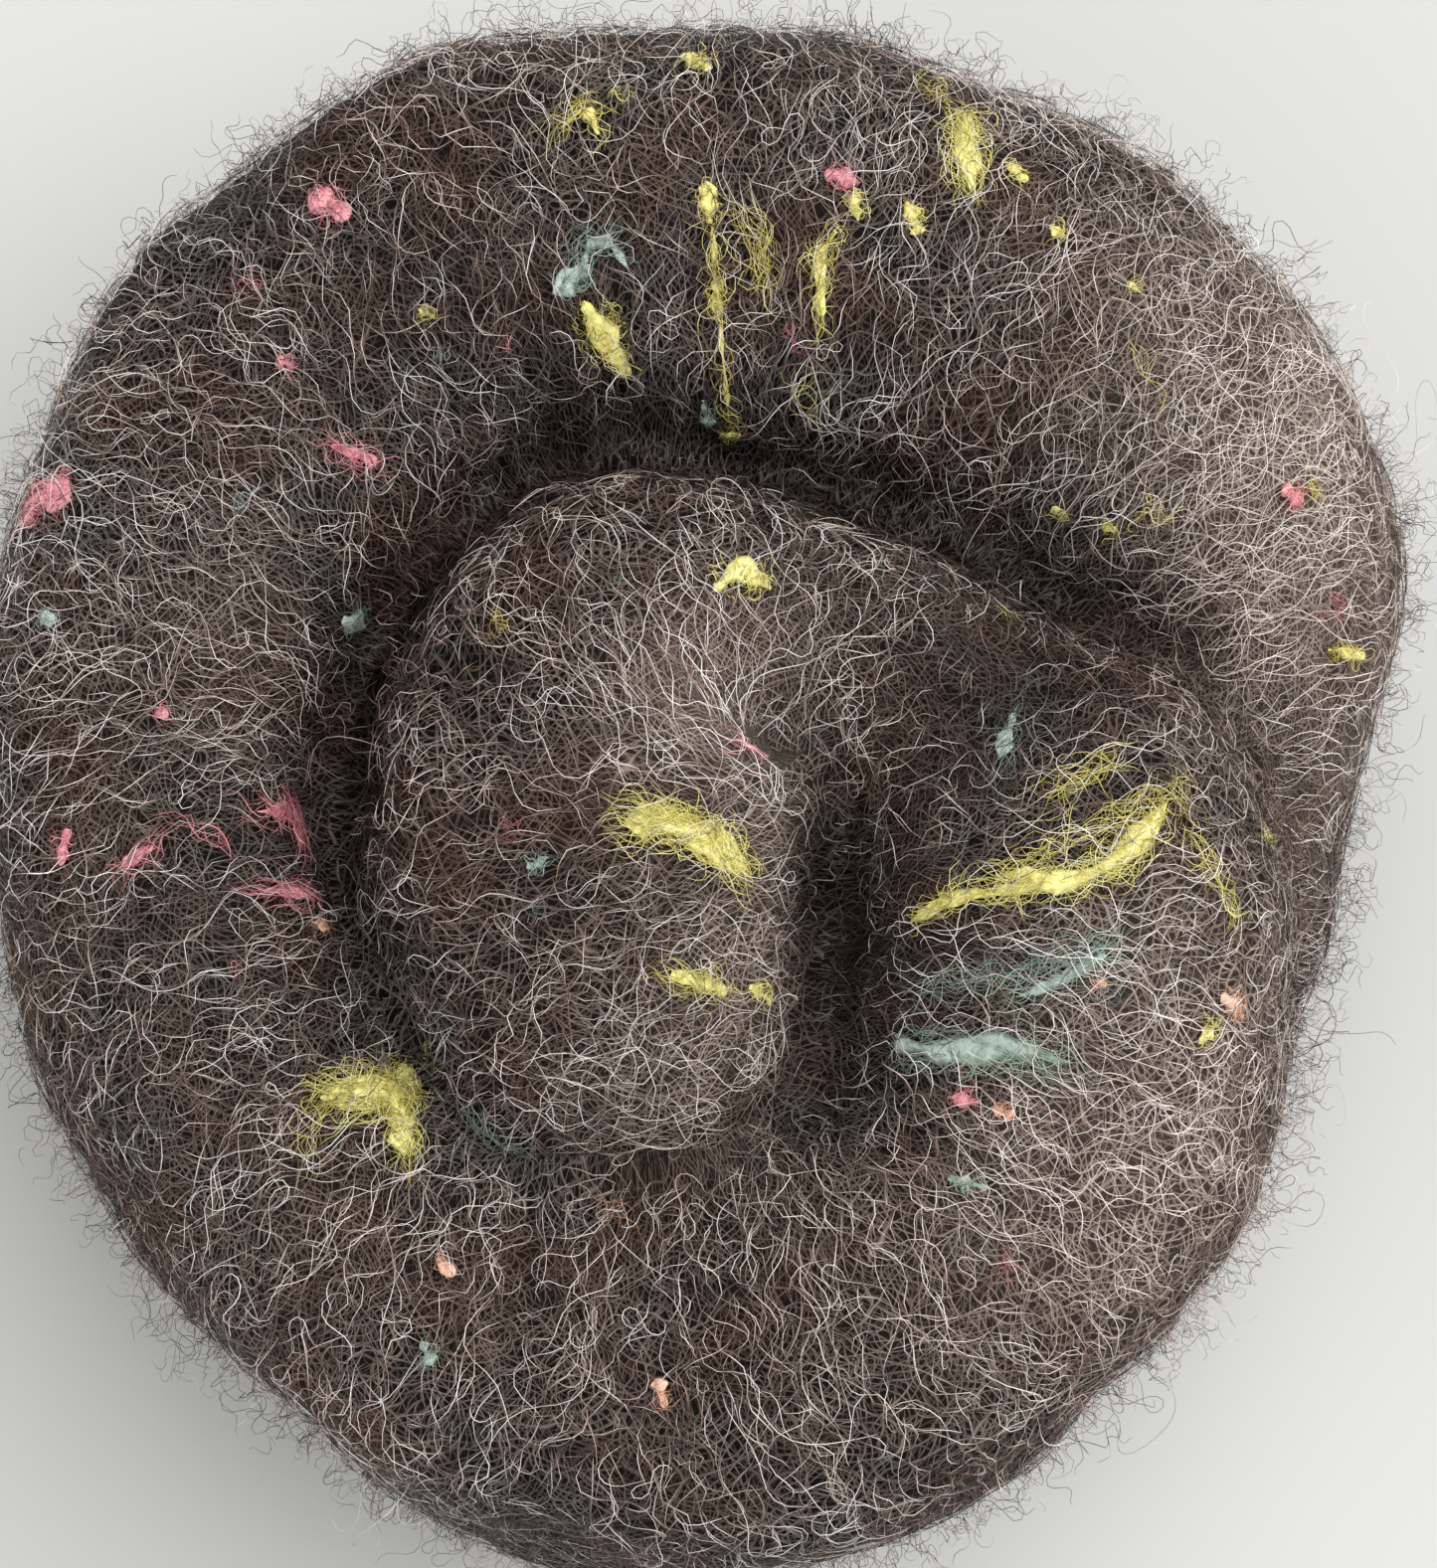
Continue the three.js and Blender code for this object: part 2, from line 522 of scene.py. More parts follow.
class Board:
    """A material's nodes, with one way to add a node of any type."""

    def __init__(self, name: str) -> None:
        """Starts an empty material with an output."""
        self.material = bpy.data.materials.new(name)
        self.material.use_nodes = True
        self.tree = self.material.node_tree
        self.tree.nodes.clear()
        self.output = self.tree.nodes.new("ShaderNodeOutputMaterial")

    def node(
        self,
        kind: str,
        settings: dict[str, Any] | None = None,
        inputs: dict[str | int, Any] | None = None,
        out: str | int = 0,
    ) -> Term:
        """Adds a node.

        Args:
            kind: the node's type.
            settings: its properties, set first; "stops" holds a ramp's places and colours.
            inputs: values or terms for its sockets, by name or number.
            out: the output socket that the term stands for.

        Returns:
            The output as a term.
        """
        made = self.tree.nodes.new(kind)
        for name, value in (settings or {}).items():
            if name == "stops":
                self.fill_ramp(made.color_ramp, value)
            else:
                setattr(made, name, value)
        for name, value in (inputs or {}).items():
            if isinstance(value, Term):
                self.tree.links.new(value.socket, made.inputs[name])
            else:
                made.inputs[name].default_value = value
        return Term(self, made.outputs[out])

    @staticmethod
    def fill_ramp(ramp: bpy.types.ColorRamp, stops: Sequence[tuple[float, Colour]]) -> None:
        """Gives a ramp its stops.

        Args:
            ramp: the ramp, which has two stops to start with.
            stops: the places and colours.
        """
        while len(ramp.elements) < len(stops):
            ramp.elements.new(0.5)
        for element, (place, colour) in zip(ramp.elements, stops):
            element.position = place
            element.color = (*colour, 1.0)

    def mix(self, factor: Term, first: Term | Colour, second: Term | Colour) -> Term:
        """Mixes two colours.

        Args:
            factor: 0 for the first and 1 for the second.
            first: a colour or a term.
            second: a colour or a term.

        Returns:
            The colour between them.
        """
        a, b = (colour if isinstance(colour, Term) else (*colour, 1.0) for colour in (first, second))
        inputs = {"Factor": factor, "A": a, "B": b}
        return self.node("ShaderNodeMix", {"data_type": "RGBA"}, inputs, out="Result")

    def noise(self, place: Term, scale: float, detail: float, distortion: float = 0.0) -> Term:
        """A noise from about 0 to 1 at a place."""
        inputs = {"Vector": place, "Scale": scale, "Detail": detail, "Distortion": distortion}
        return self.node("ShaderNodeTexNoise", {}, inputs)

    def axis(self, vector: Term, name: str) -> Term:
        """One axis of a vector."""
        return self.node("ShaderNodeSeparateXYZ", {}, {"Vector": vector}, out=name)

    def attribute(self, name: str) -> Term:
        """What the mesh's vertices hold under a name."""
        return self.node("ShaderNodeAttribute", {"attribute_name": name}, {}, out="Fac")

    def place(self, kind: str) -> Term:
        """The place of a shaded point: "map" for the one on the map, or an output of Texture Coordinate."""
        if kind == "map":
            return self.node("ShaderNodeUVMap", {"uv_map": UV_NAME})
        return self.node("ShaderNodeTexCoord", {}, {}, out=kind)

    def finish(self, shader: Term) -> bpy.types.Material:
        """Joins a shader to the output and gives the material."""
        self.tree.links.new(shader.socket, self.output.inputs["Surface"])
        return self.material


class Comb(NamedTuple):
    """One set of hairlines: their slant from straight across the fold, their spacing and their bend."""

    slant: float
    spacing: float
    bend: float


@dataclass(frozen=True)
class CoreFinish:
    """The close mass of fine fibres under the loose ones: hairlines across the fold, with painted shade in
    the creases.
    """

    name: str = "wool_core"
    deep: Colour = (0.002, 0.0015, 0.0013)
    brown: Colour = (0.012, 0.008, 0.0064)
    # Painted light on the ground where patches are pale, partly paler wool.
    pale: Colour = (0.055, 0.04, 0.032)
    hair: Colour = (0.2, 0.165, 0.14)
    warm_hair: Colour = (0.17, 0.105, 0.08)
    # Painted light on the hairlines where patches are pale, partly paler wool.
    pale_hair_and_painted_light: Colour = (0.56, 0.46, 0.39)
    # Painted shade: the colour deep in the creases.
    sheltered: Colour = (0.002, 0.0016, 0.0014)
    combs: tuple[Comb, ...] = (
        Comb(0.0, 0.72 * MM, 3.4 * MM),
        Comb(0.45, 0.86 * MM, 4.2 * MM),
        Comb(-0.5, 0.8 * MM, 3.8 * MM),
        Comb(1.0, 1.2 * MM, 5.0 * MM),
        Comb(-1.1, 1.1 * MM, 4.6 * MM),
    )
    bends: float = 150.0
    patches: float = 60.0
    # How far the painted shade in the creases goes towards its colour.
    hidden: float = 0.97
    roughness: float = 0.7
    gloss: float = 0.05
    relief: float = 0.3 * MM

    def hairlines(self, board: Board, metres: Term, comb: Comb, bend: Term) -> Term:
        """One set of lines across the fold.

        The way along the strip, turned by the slant and bent by noise, is cut into equal spacings. A line is
        where the part of a spacing is near a half, and it fades in and out with a drawn-out noise.

        Args:
            board: the material's nodes.
            metres: the place on the map in metres.
            comb: the set.
            bend: a noise from -0.5 to 0.5 that bends the lines.

        Returns:
            1 on the middle of a line and 0 between lines.
        """
        way, around = board.axis(metres, "X"), board.axis(metres, "Y")
        turned = way * math.cos(comb.slant) + around * math.sin(comb.slant) + bend * comb.bend
        spacings = turned * (1 / comb.spacing)
        line = (1.25 - (spacings.math("FRACT") - 0.5).math("ABSOLUTE") * 7.5).clamped()
        drawn = board.node(
            "ShaderNodeCombineXYZ",
            {},
            {0: spacings.math("FLOOR") * 7.31, 1: around * 140.0, 2: comb.slant * 9.0},
        )
        fade = board.noise(drawn, 1.0, 1.0)
        return line * ((fade - 0.43) * 5.0).clamped()

    def make(self, way_length: float, around_length: float) -> bpy.types.Material:
        """Builds the material.

        Args:
            way_length: metres along the strip that the map's first axis spans.
            around_length: metres round the section that its second axis spans.

        Returns:
            The material.
        """
        board = Board(self.name)
        spans = {0: board.place("map"), 1: (way_length, around_length, 1.0)}
        metres = board.node("ShaderNodeVectorMath", {"operation": "MULTIPLY"}, spans)
        lines = None
        for number, comb in enumerate(self.combs):
            shift = (0.0, 0.0, 3.7 * number)
            shifted = board.node("ShaderNodeVectorMath", {"operation": "ADD"}, {0: metres, 1: shift})
            found = self.hairlines(board, metres, comb, board.noise(shifted, self.bends, 1.0) - 0.5)
            lines = found if lines is None else lines.most(found)
        patch = board.noise(board.place("Object"), self.patches, 3.0)
        # Painted light: paler where the patches are pale, partly paler wool.
        pale = board.attribute(PALE_AND_PAINTED_LIGHT)
        ground = board.mix(((patch - 0.3) * 1.8).clamped(), self.deep, self.brown)
        hair = board.mix(((patch - 0.45) * 5.0).clamped(), self.hair, self.warm_hair)
        ground, hair = board.mix(pale, ground, self.pale), board.mix(pale, hair, self.pale_hair_and_painted_light)
        # Painted shade: the colour goes towards near black deep in the creases and under dark patches.
        outside_painted_shade = 1 - board.attribute(PAINTED_SHADE) * self.hidden
        colour = board.mix(outside_painted_shade, self.sheltered, board.mix(lines, ground, hair))
        relief = {"Strength": 0.8, "Distance": self.relief, "Height": lines + patch * 0.5}
        inputs = {
            "Base Color": colour,
            "Roughness": self.roughness,
            "Specular IOR Level": self.gloss,
            "Normal": board.node("ShaderNodeBump", {}, relief),
        }
        return board.finish(board.node("ShaderNodeBsdfPrincipled", {}, inputs))


@dataclass(frozen=True)
class FibreFinish:
    """Fibres whose shade is read from their place on the map: paler up the map and warmer along it."""

    name: str
    cool: tuple[tuple[float, Colour], ...]
    warm: tuple[tuple[float, Colour], ...]
    roughness: float = 0.36
    gloss: float = 0.6
    felt_shadow: float = 0.0
    felt_scale: float = 800.0
    felt_relief: float = 0.3 * MM

    def make(self) -> bpy.types.Material:
        """Builds the material.

        Where a finish has felted fibres, small shadows are painted between them: a fine noise mixes the
        colour towards the darkest warm one and raises a relief.

        Returns:
            The material.
        """
        board = Board(self.name)
        place = board.place("map")
        shade = board.axis(place, "Y")
        cool, warm = (
            board.node("ShaderNodeValToRGB", {"stops": stops}, {"Fac": shade})
            for stops in (self.cool, self.warm)
        )
        colour = board.mix(board.axis(place, "X"), cool, warm)
        inputs = {"Base Color": colour, "Roughness": self.roughness, "Specular IOR Level": self.gloss}
        if self.felt_shadow:
            fine = board.noise(board.place("Object"), self.felt_scale, 4.0, 1.2)
            # Painted shadow between the felted fibres.
            dark = ((0.5 - fine) * 6.0).clamped() * self.felt_shadow
            relief = {"Strength": 0.9, "Distance": self.felt_relief, "Height": fine}
            inputs["Base Color"] = board.mix(dark, colour, self.warm[0][1])
            inputs["Normal"] = board.node("ShaderNodeBump", {}, relief)
        return board.finish(board.node("ShaderNodeBsdfPrincipled", {}, inputs))


class Dye(Enum):
    """The colours of wool in the batt."""

    NATURAL = "natural"
    YELLOW = "yellow"
    PINK = "pink"
    GREEN = "green"
    PEACH = "peach"


SILVER = (
    (0.0, (0.01, 0.008, 0.007)),
    (0.25, (0.026, 0.021, 0.018)),
    (0.5, (0.11, 0.09, 0.076)),
    (0.7, (0.36, 0.315, 0.275)),
    (0.88, (0.74, 0.69, 0.635)),
    (1.0, (0.97, 0.94, 0.9)),
)
BROWN = (
    (0.0, (0.014, 0.008, 0.006)),
    (0.25, (0.036, 0.019, 0.014)),
    (0.5, (0.13, 0.078, 0.06)),
    (0.7, (0.36, 0.25, 0.205)),
    (0.88, (0.7, 0.57, 0.5)),
    (1.0, (0.95, 0.86, 0.8)),
)
FINISHES = {
    Dye.NATURAL: FibreFinish("natural_fibre", SILVER, BROWN, gloss=0.25),
    Dye.YELLOW: FibreFinish(
        "yellow_fibre",
        ((0.0, (0.12, 0.1, 0.02)), (0.5, (0.54, 0.49, 0.1)), (1.0, (0.92, 0.9, 0.36))),
        ((0.0, (0.12, 0.08, 0.01)), (0.5, (0.5, 0.36, 0.04)), (1.0, (0.8, 0.66, 0.14))),
        felt_shadow=0.4,
    ),
    Dye.PINK: FibreFinish(
        "pink_fibre",
        ((0.0, (0.12, 0.03, 0.045)), (0.5, (0.58, 0.18, 0.23)), (1.0, (0.98, 0.45, 0.5))),
        ((0.0, (0.1, 0.02, 0.02)), (0.5, (0.34, 0.07, 0.07)), (1.0, (0.66, 0.22, 0.2))),
        felt_shadow=0.4,
    ),
    Dye.GREEN: FibreFinish(
        "green_fibre",
        ((0.0, (0.05, 0.065, 0.06)), (0.5, (0.18, 0.24, 0.21)), (1.0, (0.44, 0.57, 0.5))),
        ((0.0, (0.05, 0.07, 0.045)), (0.5, (0.19, 0.25, 0.18)), (1.0, (0.44, 0.54, 0.4))),
        felt_shadow=0.4,
    ),
    Dye.PEACH: FibreFinish(
        "peach_fibre",
        ((0.0, (0.2, 0.09, 0.05)), (0.5, (0.62, 0.34, 0.22)), (1.0, (0.86, 0.6, 0.45))),
        ((0.0, (0.18, 0.06, 0.02)), (0.5, (0.55, 0.22, 0.1)), (1.0, (0.8, 0.42, 0.24))),
        felt_shadow=0.4,
    ),
}


class Tint(NamedTuple):
    """The shades of a kind of fibre: middle and spread, the same for warmth, and the painted glint that
    swings along a fibre.
    """

    shade: float
    spread: float
    warmth: float
    warmth_spread: float
    painted_glint: float = 0.1


@dataclass(frozen=True)
class Crimp:
    """How one kind of fibre runs over the surface, in metres and radians."""

    shortest: float
    longest: float
    thickness: float
    wave: float
    swing_low: float
    swing_high: float
    heading_spread: float
    lift: float
    points: int
    tint: Tint
    lift_spread: float = 0.0
    arch: float = 0.0


@dataclass
class Strands:
    """Fibres as polylines: their points, a direction across each, thickness, shade and warmth."""

    points: np.ndarray
    out: np.ndarray
    thickness: np.ndarray
    shade: np.ndarray
    warmth: np.ndarray


class Spinner:
    """Lays crimped fibres over the strip's surface.

    The ends of laid fibres are ends_sunk under the surface, and a fibre on a steep side keeps least_lift of
    its height. Curls reach highest_curl at most. The last three say how much painted shade darkens fibres
    deep in a crease, curls there, and fibres on the steep sides.
    """

    ends_sunk: float = 0.5 * MM
    least_lift: float = 0.15
    highest_curl: float = 11 * MM
    painted_crease_shade_fibre: float = 0.85
    painted_crease_shade_curl: float = 0.5
    painted_side_shade_fibre: float = 0.3

    def __init__(self, surface: Surface, patches: "Patches", seed: int) -> None:
        """Keeps the surface and its patches, and starts a source of random numbers."""
        self.surface = surface
        self.patches = patches
        self.rng = np.random.default_rng(seed)

    def drawn(self, crimp: Crimp, count: int) -> tuple[np.ndarray, np.ndarray, np.ndarray]:
        """Draws the measures of fibres.

        Args:
            crimp: the kind of fibre.
            count: how many there are.

        Returns:
            The length of each fibre, the length of its waves and the swing of its heading, as columns.
        """
        length = self.rng.uniform(crimp.shortest, crimp.longest, (count, 1))
        wave = crimp.wave * self.rng.uniform(0.6, 1.6, (count, 1))
        return length, wave, self.rng.uniform(crimp.swing_low, crimp.swing_high, (count, 1))

    @staticmethod
    def stepped(angle: np.ndarray, length: np.ndarray) -> tuple[np.ndarray, np.ndarray]:
        """Adds up small steps in a changing heading.

        Args:
            angle: the heading at each point of each fibre.
            length: the length of each fibre, as a column.

        Returns:
            How far each point has come in the heading 0 and in the heading of a quarter turn.
        """
        stride = length / (angle.shape[1] - 1)
        return np.cumsum(np.cos(angle) * stride, axis=1), np.cumsum(np.sin(angle) * stride, axis=1)

    def path(self, crimp: Crimp, row: np.ndarray, column: np.ndarray, heading: np.ndarray) -> Strands:
        """Runs a fibre through each given place.

        A fibre's heading swings as a sine along its length, with a slower sine added, and its path is the sum
        of small steps in that heading, measured in metres on the surface. Its height over the surface is a
        lift of its own with a ripple, and an arch that is highest in its middle. On the steep sides fibres
        lie closer and get painted shade, and painted shade darkens them as they run into a crease.

        Args:
            crimp: the kind of fibre.
            row: the row of each fibre's middle.
            column: the column of each fibre's middle.
            heading: each fibre's heading, with 0 along the strip and a quarter turn across it.

        Returns:
            The strands.
        """
        rng, surface, count = self.rng, self.surface, len(row)
        length, wave, swing = self.drawn(crimp, count)
        t = np.linspace(-0.5, 0.5, crimp.points)[None, :]
        run = t * length
        slow = rng.uniform(0.1, 0.55, (count, 1))
        turn = swing * np.sin(2 * math.pi * run / wave + rng.uniform(0, 2 * math.pi, (count, 1)))
        turn += slow * np.sin(2 * math.pi * run / (2.7 * wave) + rng.uniform(0, 2 * math.pi, (count, 1)))
        ahead, aside = self.stepped(heading[:, None] + turn, length)
        ahead -= ahead.mean(axis=1, keepdims=True)
        aside -= aside.mean(axis=1, keepdims=True)
        row_step = surface.read(surface.row_step, row, column)[:, None]
        column_step = surface.read(surface.column_step, row, column)[:, None]
        rows = row[:, None] + ahead / np.maximum(row_step, FINEST_STEP)
        columns = column[:, None] + aside / np.maximum(column_step, FINEST_STEP)
        base = surface.read(surface.points, rows, columns)
        out = unit(surface.read(surface.out, rows, columns))
        lift = crimp.lift + crimp.lift_spread * rng.uniform(0, 1, (count, 1)) ** 2
        ripple = 0.45 * lift * np.sin(2 * math.pi * run / (1.3 * wave) + rng.uniform(0, 6, (count, 1)))
        arch = crimp.arch * rng.uniform(0, 1, (count, 1)) ** 2 * np.cos(math.pi * t)
        ends = np.abs(2 * t) ** 4
        level = np.clip(np.abs(out[..., 2]) / STEEP_BELOW, self.least_lift, 1)
        height = (lift + ripple + arch) * level * (1 - ends) - self.ends_sunk * ends
        points = base + out * height[..., None]
        thickness = crimp.thickness * rng.uniform(0.75, 1.25, (count, 1)) * (1 - 0.5 * ends)
        shade, warmth = self.tinted(crimp.tint, points, run / wave)
        # Painted shade: fibres darken deep in the creases and on the steep sides.
        shelter = surface.read(surface.shelter, rows, columns)
        shade -= self.painted_crease_shade_fibre * shelter + self.painted_side_shade_fibre * (1 - level)
        return Strands(points, out, thickness, np.clip(shade, *SHADES), warmth)

    def sprouted(self, crimp: Crimp, row: np.ndarray, column: np.ndarray) -> Strands:
        """Lets a curl stand up from each given place.

        A curl lies in the plane of the outward direction and a random one along the surface. Its heading in
        that plane starts at a lean from the surface, turns evenly and swings as a sine. Its path is the sum
        of small steps in that heading, with its height eased in under the highest, and it drifts a little
        out of the plane.

        Args:
            crimp: the kind of fibre.
            row: the row of each curl's root.
            column: the column of each curl's root.

        Returns:
            The strands.
        """
        rng, surface, count = self.rng, self.surface, len(row)
        length, wave, swing = self.drawn(crimp, count)
        t = np.linspace(0, 1, crimp.points)[None, :]
        run = t * length
        lean = rng.normal(1.2, 0.7 * crimp.heading_spread, (count, 1))
        bend = rng.choice([-1.0, 1.0], (count, 1)) * rng.uniform(0.3, 3.4, (count, 1))
        angle = lean + bend * t + swing * np.sin(2 * math.pi * run / wave + rng.uniform(0, 6, (count, 1)))
        aside, rise = self.stepped(angle, length)
        eased = self.highest_curl * np.tanh(rise / self.highest_curl)
        rise = crimp.lift + np.where(rise < 0, rise * 0.25, eased)
        base = surface.read(surface.points, row, column)
        out = unit(surface.read(surface.out, row, column))
        flat = unit(np.cross(out, rng.normal(size=(count, 3))))
        beside = np.cross(out, flat)
        drift = rng.normal(0, 0.3, (count, 1)) * run
        points = base[:, None] + out[:, None] * rise[..., None] + flat[:, None] * aside[..., None]
        points += beside[:, None] * drift[..., None]
        thickness = crimp.thickness * rng.uniform(0.75, 1.25, (count, 1)) * (1 - 0.5 * t**6)
        shade, warmth = self.tinted(crimp.tint, points, run / wave)
        # Painted shade: curls darken deep in the creases.
        shelter = surface.read(surface.shelter, row, column)[:, None]
        shade = np.clip(shade - self.painted_crease_shade_curl * shelter, *SHADES)
        return Strands(points, np.repeat(beside[:, None], crimp.points, axis=1), thickness, shade, warmth)

    def tinted(self, tint: Tint, points: np.ndarray, waves: np.ndarray) -> tuple[np.ndarray, np.ndarray]:
        """Gives fibres their shade and warmth, which also follow the patches that they lie in.

        Along a fibre the shade swings as a sine of its waves: a painted glint where the hair turns.

        Args:
            tint: the shades of this kind of fibre.
            points: the points of each fibre.
            waves: how many waves of its crimp each point lies along its fibre.

        Returns:
            The shade of each point and the warmth of each fibre, from 0 to 1.
        """
        count = len(points)
        places = points[:, points.shape[1] // 2]
        # The patches' paler shift paints light and shade, partly the wool's own tone.
        shift = self.patches.at(places)
        shade = self.rng.normal(tint.shade, tint.spread, count) + PALER.at(places) + shift[:, 0]
        warmth = self.rng.normal(tint.warmth, tint.warmth_spread, count) + WARMER.at(places)
        # Painted glint: the shade swings brighter and darker along each fibre.
        painted_glint = tint.painted_glint * np.sin(2 * math.pi * waves * 1.4 + self.rng.uniform(0, 6, (count, 1)))
        return np.clip(shade[:, None] + painted_glint, *SHADES), np.clip(warmth + shift[:, 1], *SHADES)

    def scattered(self, count: int, weight: np.ndarray) -> tuple[np.ndarray, np.ndarray]:
        """Picks places on the surface.

        Args:
            count: how many.
            weight: how much each grid point draws, by row and column, for its area.

        Returns:
            Rows and columns, with their parts.
        """
        area = self.surface.row_step * self.surface.column_step * weight
        flat = self.rng.choice(area.size, size=count, p=(area / area.sum()).ravel())
        row, column = np.divmod(flat, self.surface.columns)
        return row + self.rng.uniform(0, 1, count), column + self.rng.uniform(0, 1, count)

    def grow(self, layer: "Layer") -> Strands:
        """Makes the fibres of a layer, which lie mostly across the strip on open ground and stand elsewhere.

        Args:
            layer: the layer.

        Returns:
            The strands.
        """
        crimp = layer.crimp
        row, column = self.scattered(layer.count, weights(self.surface, layer.ground))
        if layer.ground is not Ground.OPEN:
            return self.sprouted(crimp, row, column)
        place = self.surface.read(self.surface.points, row, column)
        spread = self.rng.normal(0, crimp.heading_spread, layer.count)
        return self.path(crimp, row, column, math.pi / 2 + SLANT.at(place) + spread)


PALER = Lumps(seed=61, count=14, shortest=16 * MM, longest=60 * MM, height=0.06)
WARMER = Lumps(seed=62, count=14, shortest=18 * MM, longest=70 * MM, height=0.14)
SLANT = Lumps(seed=63, count=12, shortest=18 * MM, longest=50 * MM, height=0.22)


class Patch(NamedTuple):
    """A patch of painted light and shade, partly the wool's own tone, and of warmth: its pixel, its radius in
    pixels, both shifts.
    """

    x: int
    y: int
    radius: int
    paler: float
    warmer: float


# The paler shifts are mostly painted light on the sides that face the window and painted shade in the creases
# and on slopes turned from it, partly the wool's own tone; the warmer shifts are the wool's tone.
PATCHES = (
    Patch(1330, 430, 130, 0.27, 0.3),
    Patch(1310, 640, 90, 0.18, 0.45),
    Patch(1200, 330, 120, 0.08, 0.15),
    Patch(715, 690, 80, 0.24, 0.0),
    Patch(770, 1000, 60, 0.2, 0.0),
    Patch(690, 1120, 80, 0.12, -0.1),
    Patch(1110, 1190, 110, 0.2, 0.15),
    Patch(1190, 960, 90, 0.12, 0.0),
    Patch(1000, 700, 90, -0.16, 0.0),
    Patch(1100, 700, 70, -0.13, 0.0),
    Patch(850, 430, 120, -0.08, 0.0),
    Patch(560, 430, 90, -0.08, 0.0),
    Patch(250, 260, 120, -0.08, 0.1),
    Patch(520, 180, 110, -0.07, 0.0),
    Patch(150, 1000, 110, -0.08, 0.15),
    Patch(250, 640, 90, 0.06, -0.1),
    Patch(500, 700, 100, -0.06, 0.4),
    Patch(470, 1000, 80, -0.02, 0.3),
    Patch(330, 1150, 90, 0.05, 0.0),
    Patch(640, 1400, 140, -0.06, 0.0),
    Patch(900, 1350, 120, 0.02, 0.2),
    Patch(440, 280, 60, -0.1, 0.3),
    Patch(1330, 830, 70, 0.16, 0.25),
    Patch(1300, 1010, 70, 0.18, 0.2),
    Patch(1250, 1170, 80, 0.16, 0.2),
    Patch(1130, 1330, 80, 0.08, 0.2),
    Patch(790, 860, 60, 0.18, 0.0),
    Patch(900, 850, 50, -0.14, 0.0),
    Patch(895, 960, 50, -0.22, 0.0),
    Patch(890, 1090, 50, -0.2, 0.0),
    Patch(402, 960, 40, -0.26, 0.0),
    Patch(366, 820, 36, -0.28, 0.0),
    Patch(400, 640, 45, -0.16, 0.0),
    Patch(385, 1130, 40, -0.1, 0.0),
    Patch(440, 620, 70, -0.12, 0.1),
    Patch(620, 560, 70, -0.06, 0.1),
)


class Patches:
    """The patches on the surface."""

    def __init__(self, surface: Surface, view: "PhotoView") -> None:
        """Finds where the view sees each patch."""
        rows, columns = surface.seen_at(view, np.array([(p.x, p.y) for p in PATCHES], float))
        self.centres = surface.read(surface.points, rows, columns)
        self.radii = np.array([p.radius for p in PATCHES]) * view.pixel
        self.shifts = np.array([(p.paler, p.warmer) for p in PATCHES])

    def at(self, places: np.ndarray) -> np.ndarray:
        """How much paler and warmer places are: bells round the patches, added up."""
        away = np.linalg.norm(places[:, None] - self.centres[None], axis=2) / self.radii
        return np.exp(-(away**2) / 2) @ self.shifts


class Ground(Enum):
    """Where a layer of fibres is."""

    OPEN = "laid on the open surface"
    RIM = "standing on the steep sides and thinly elsewhere"
    CREASE = "standing in the mouths of the creases"
    STRAY = "standing far apart on the steep sides"


def weights(surface: Surface, ground: Ground) -> np.ndarray:
    """How densely each place of the surface is covered, which is nothing on the foot.

    On open ground that is most on top and less on the flanks, and nothing where another turn lies against
    the surface. On the rim it is most where the surface is steep, and in a crease where the next turn is
    some millimetres away.

    Args:
        surface: the strip's surface.
        ground: where the fibres are.

    Returns:
        Weights by row and column.
    """
    up = surface.out[..., 2]
    inside = np.abs(np.arange(surface.rows) - surface.rows / 2) < surface.rows / 2 - 6
    held = (surface.points[..., 2] > 2.5 * MM) * inside[:, None]
    if ground is Ground.CREASE:
        mouth = np.exp(-(((surface.shelter - 0.45) / 0.22) ** 2)) * (surface.shelter > 0.15)
        return mouth * held * (up > -0.1)
    free = np.clip((0.97 - surface.shelter) / 0.6, 0, 1)
    if ground is Ground.OPEN:
        facing = np.where(up < -0.5, 0.06, np.clip(0.22 + 1.6 * up, 0.22, 1.0))
        return free * facing * held
    steep = np.exp(-(((up - 0.22) / 0.24) ** 2)) * np.clip(surface.points[..., 2] / (26 * MM) - 0.4, 0.1, 1)
    return free * held * (0.14 * (up > 0.3) * (ground is Ground.RIM) + 2.5 * steep)


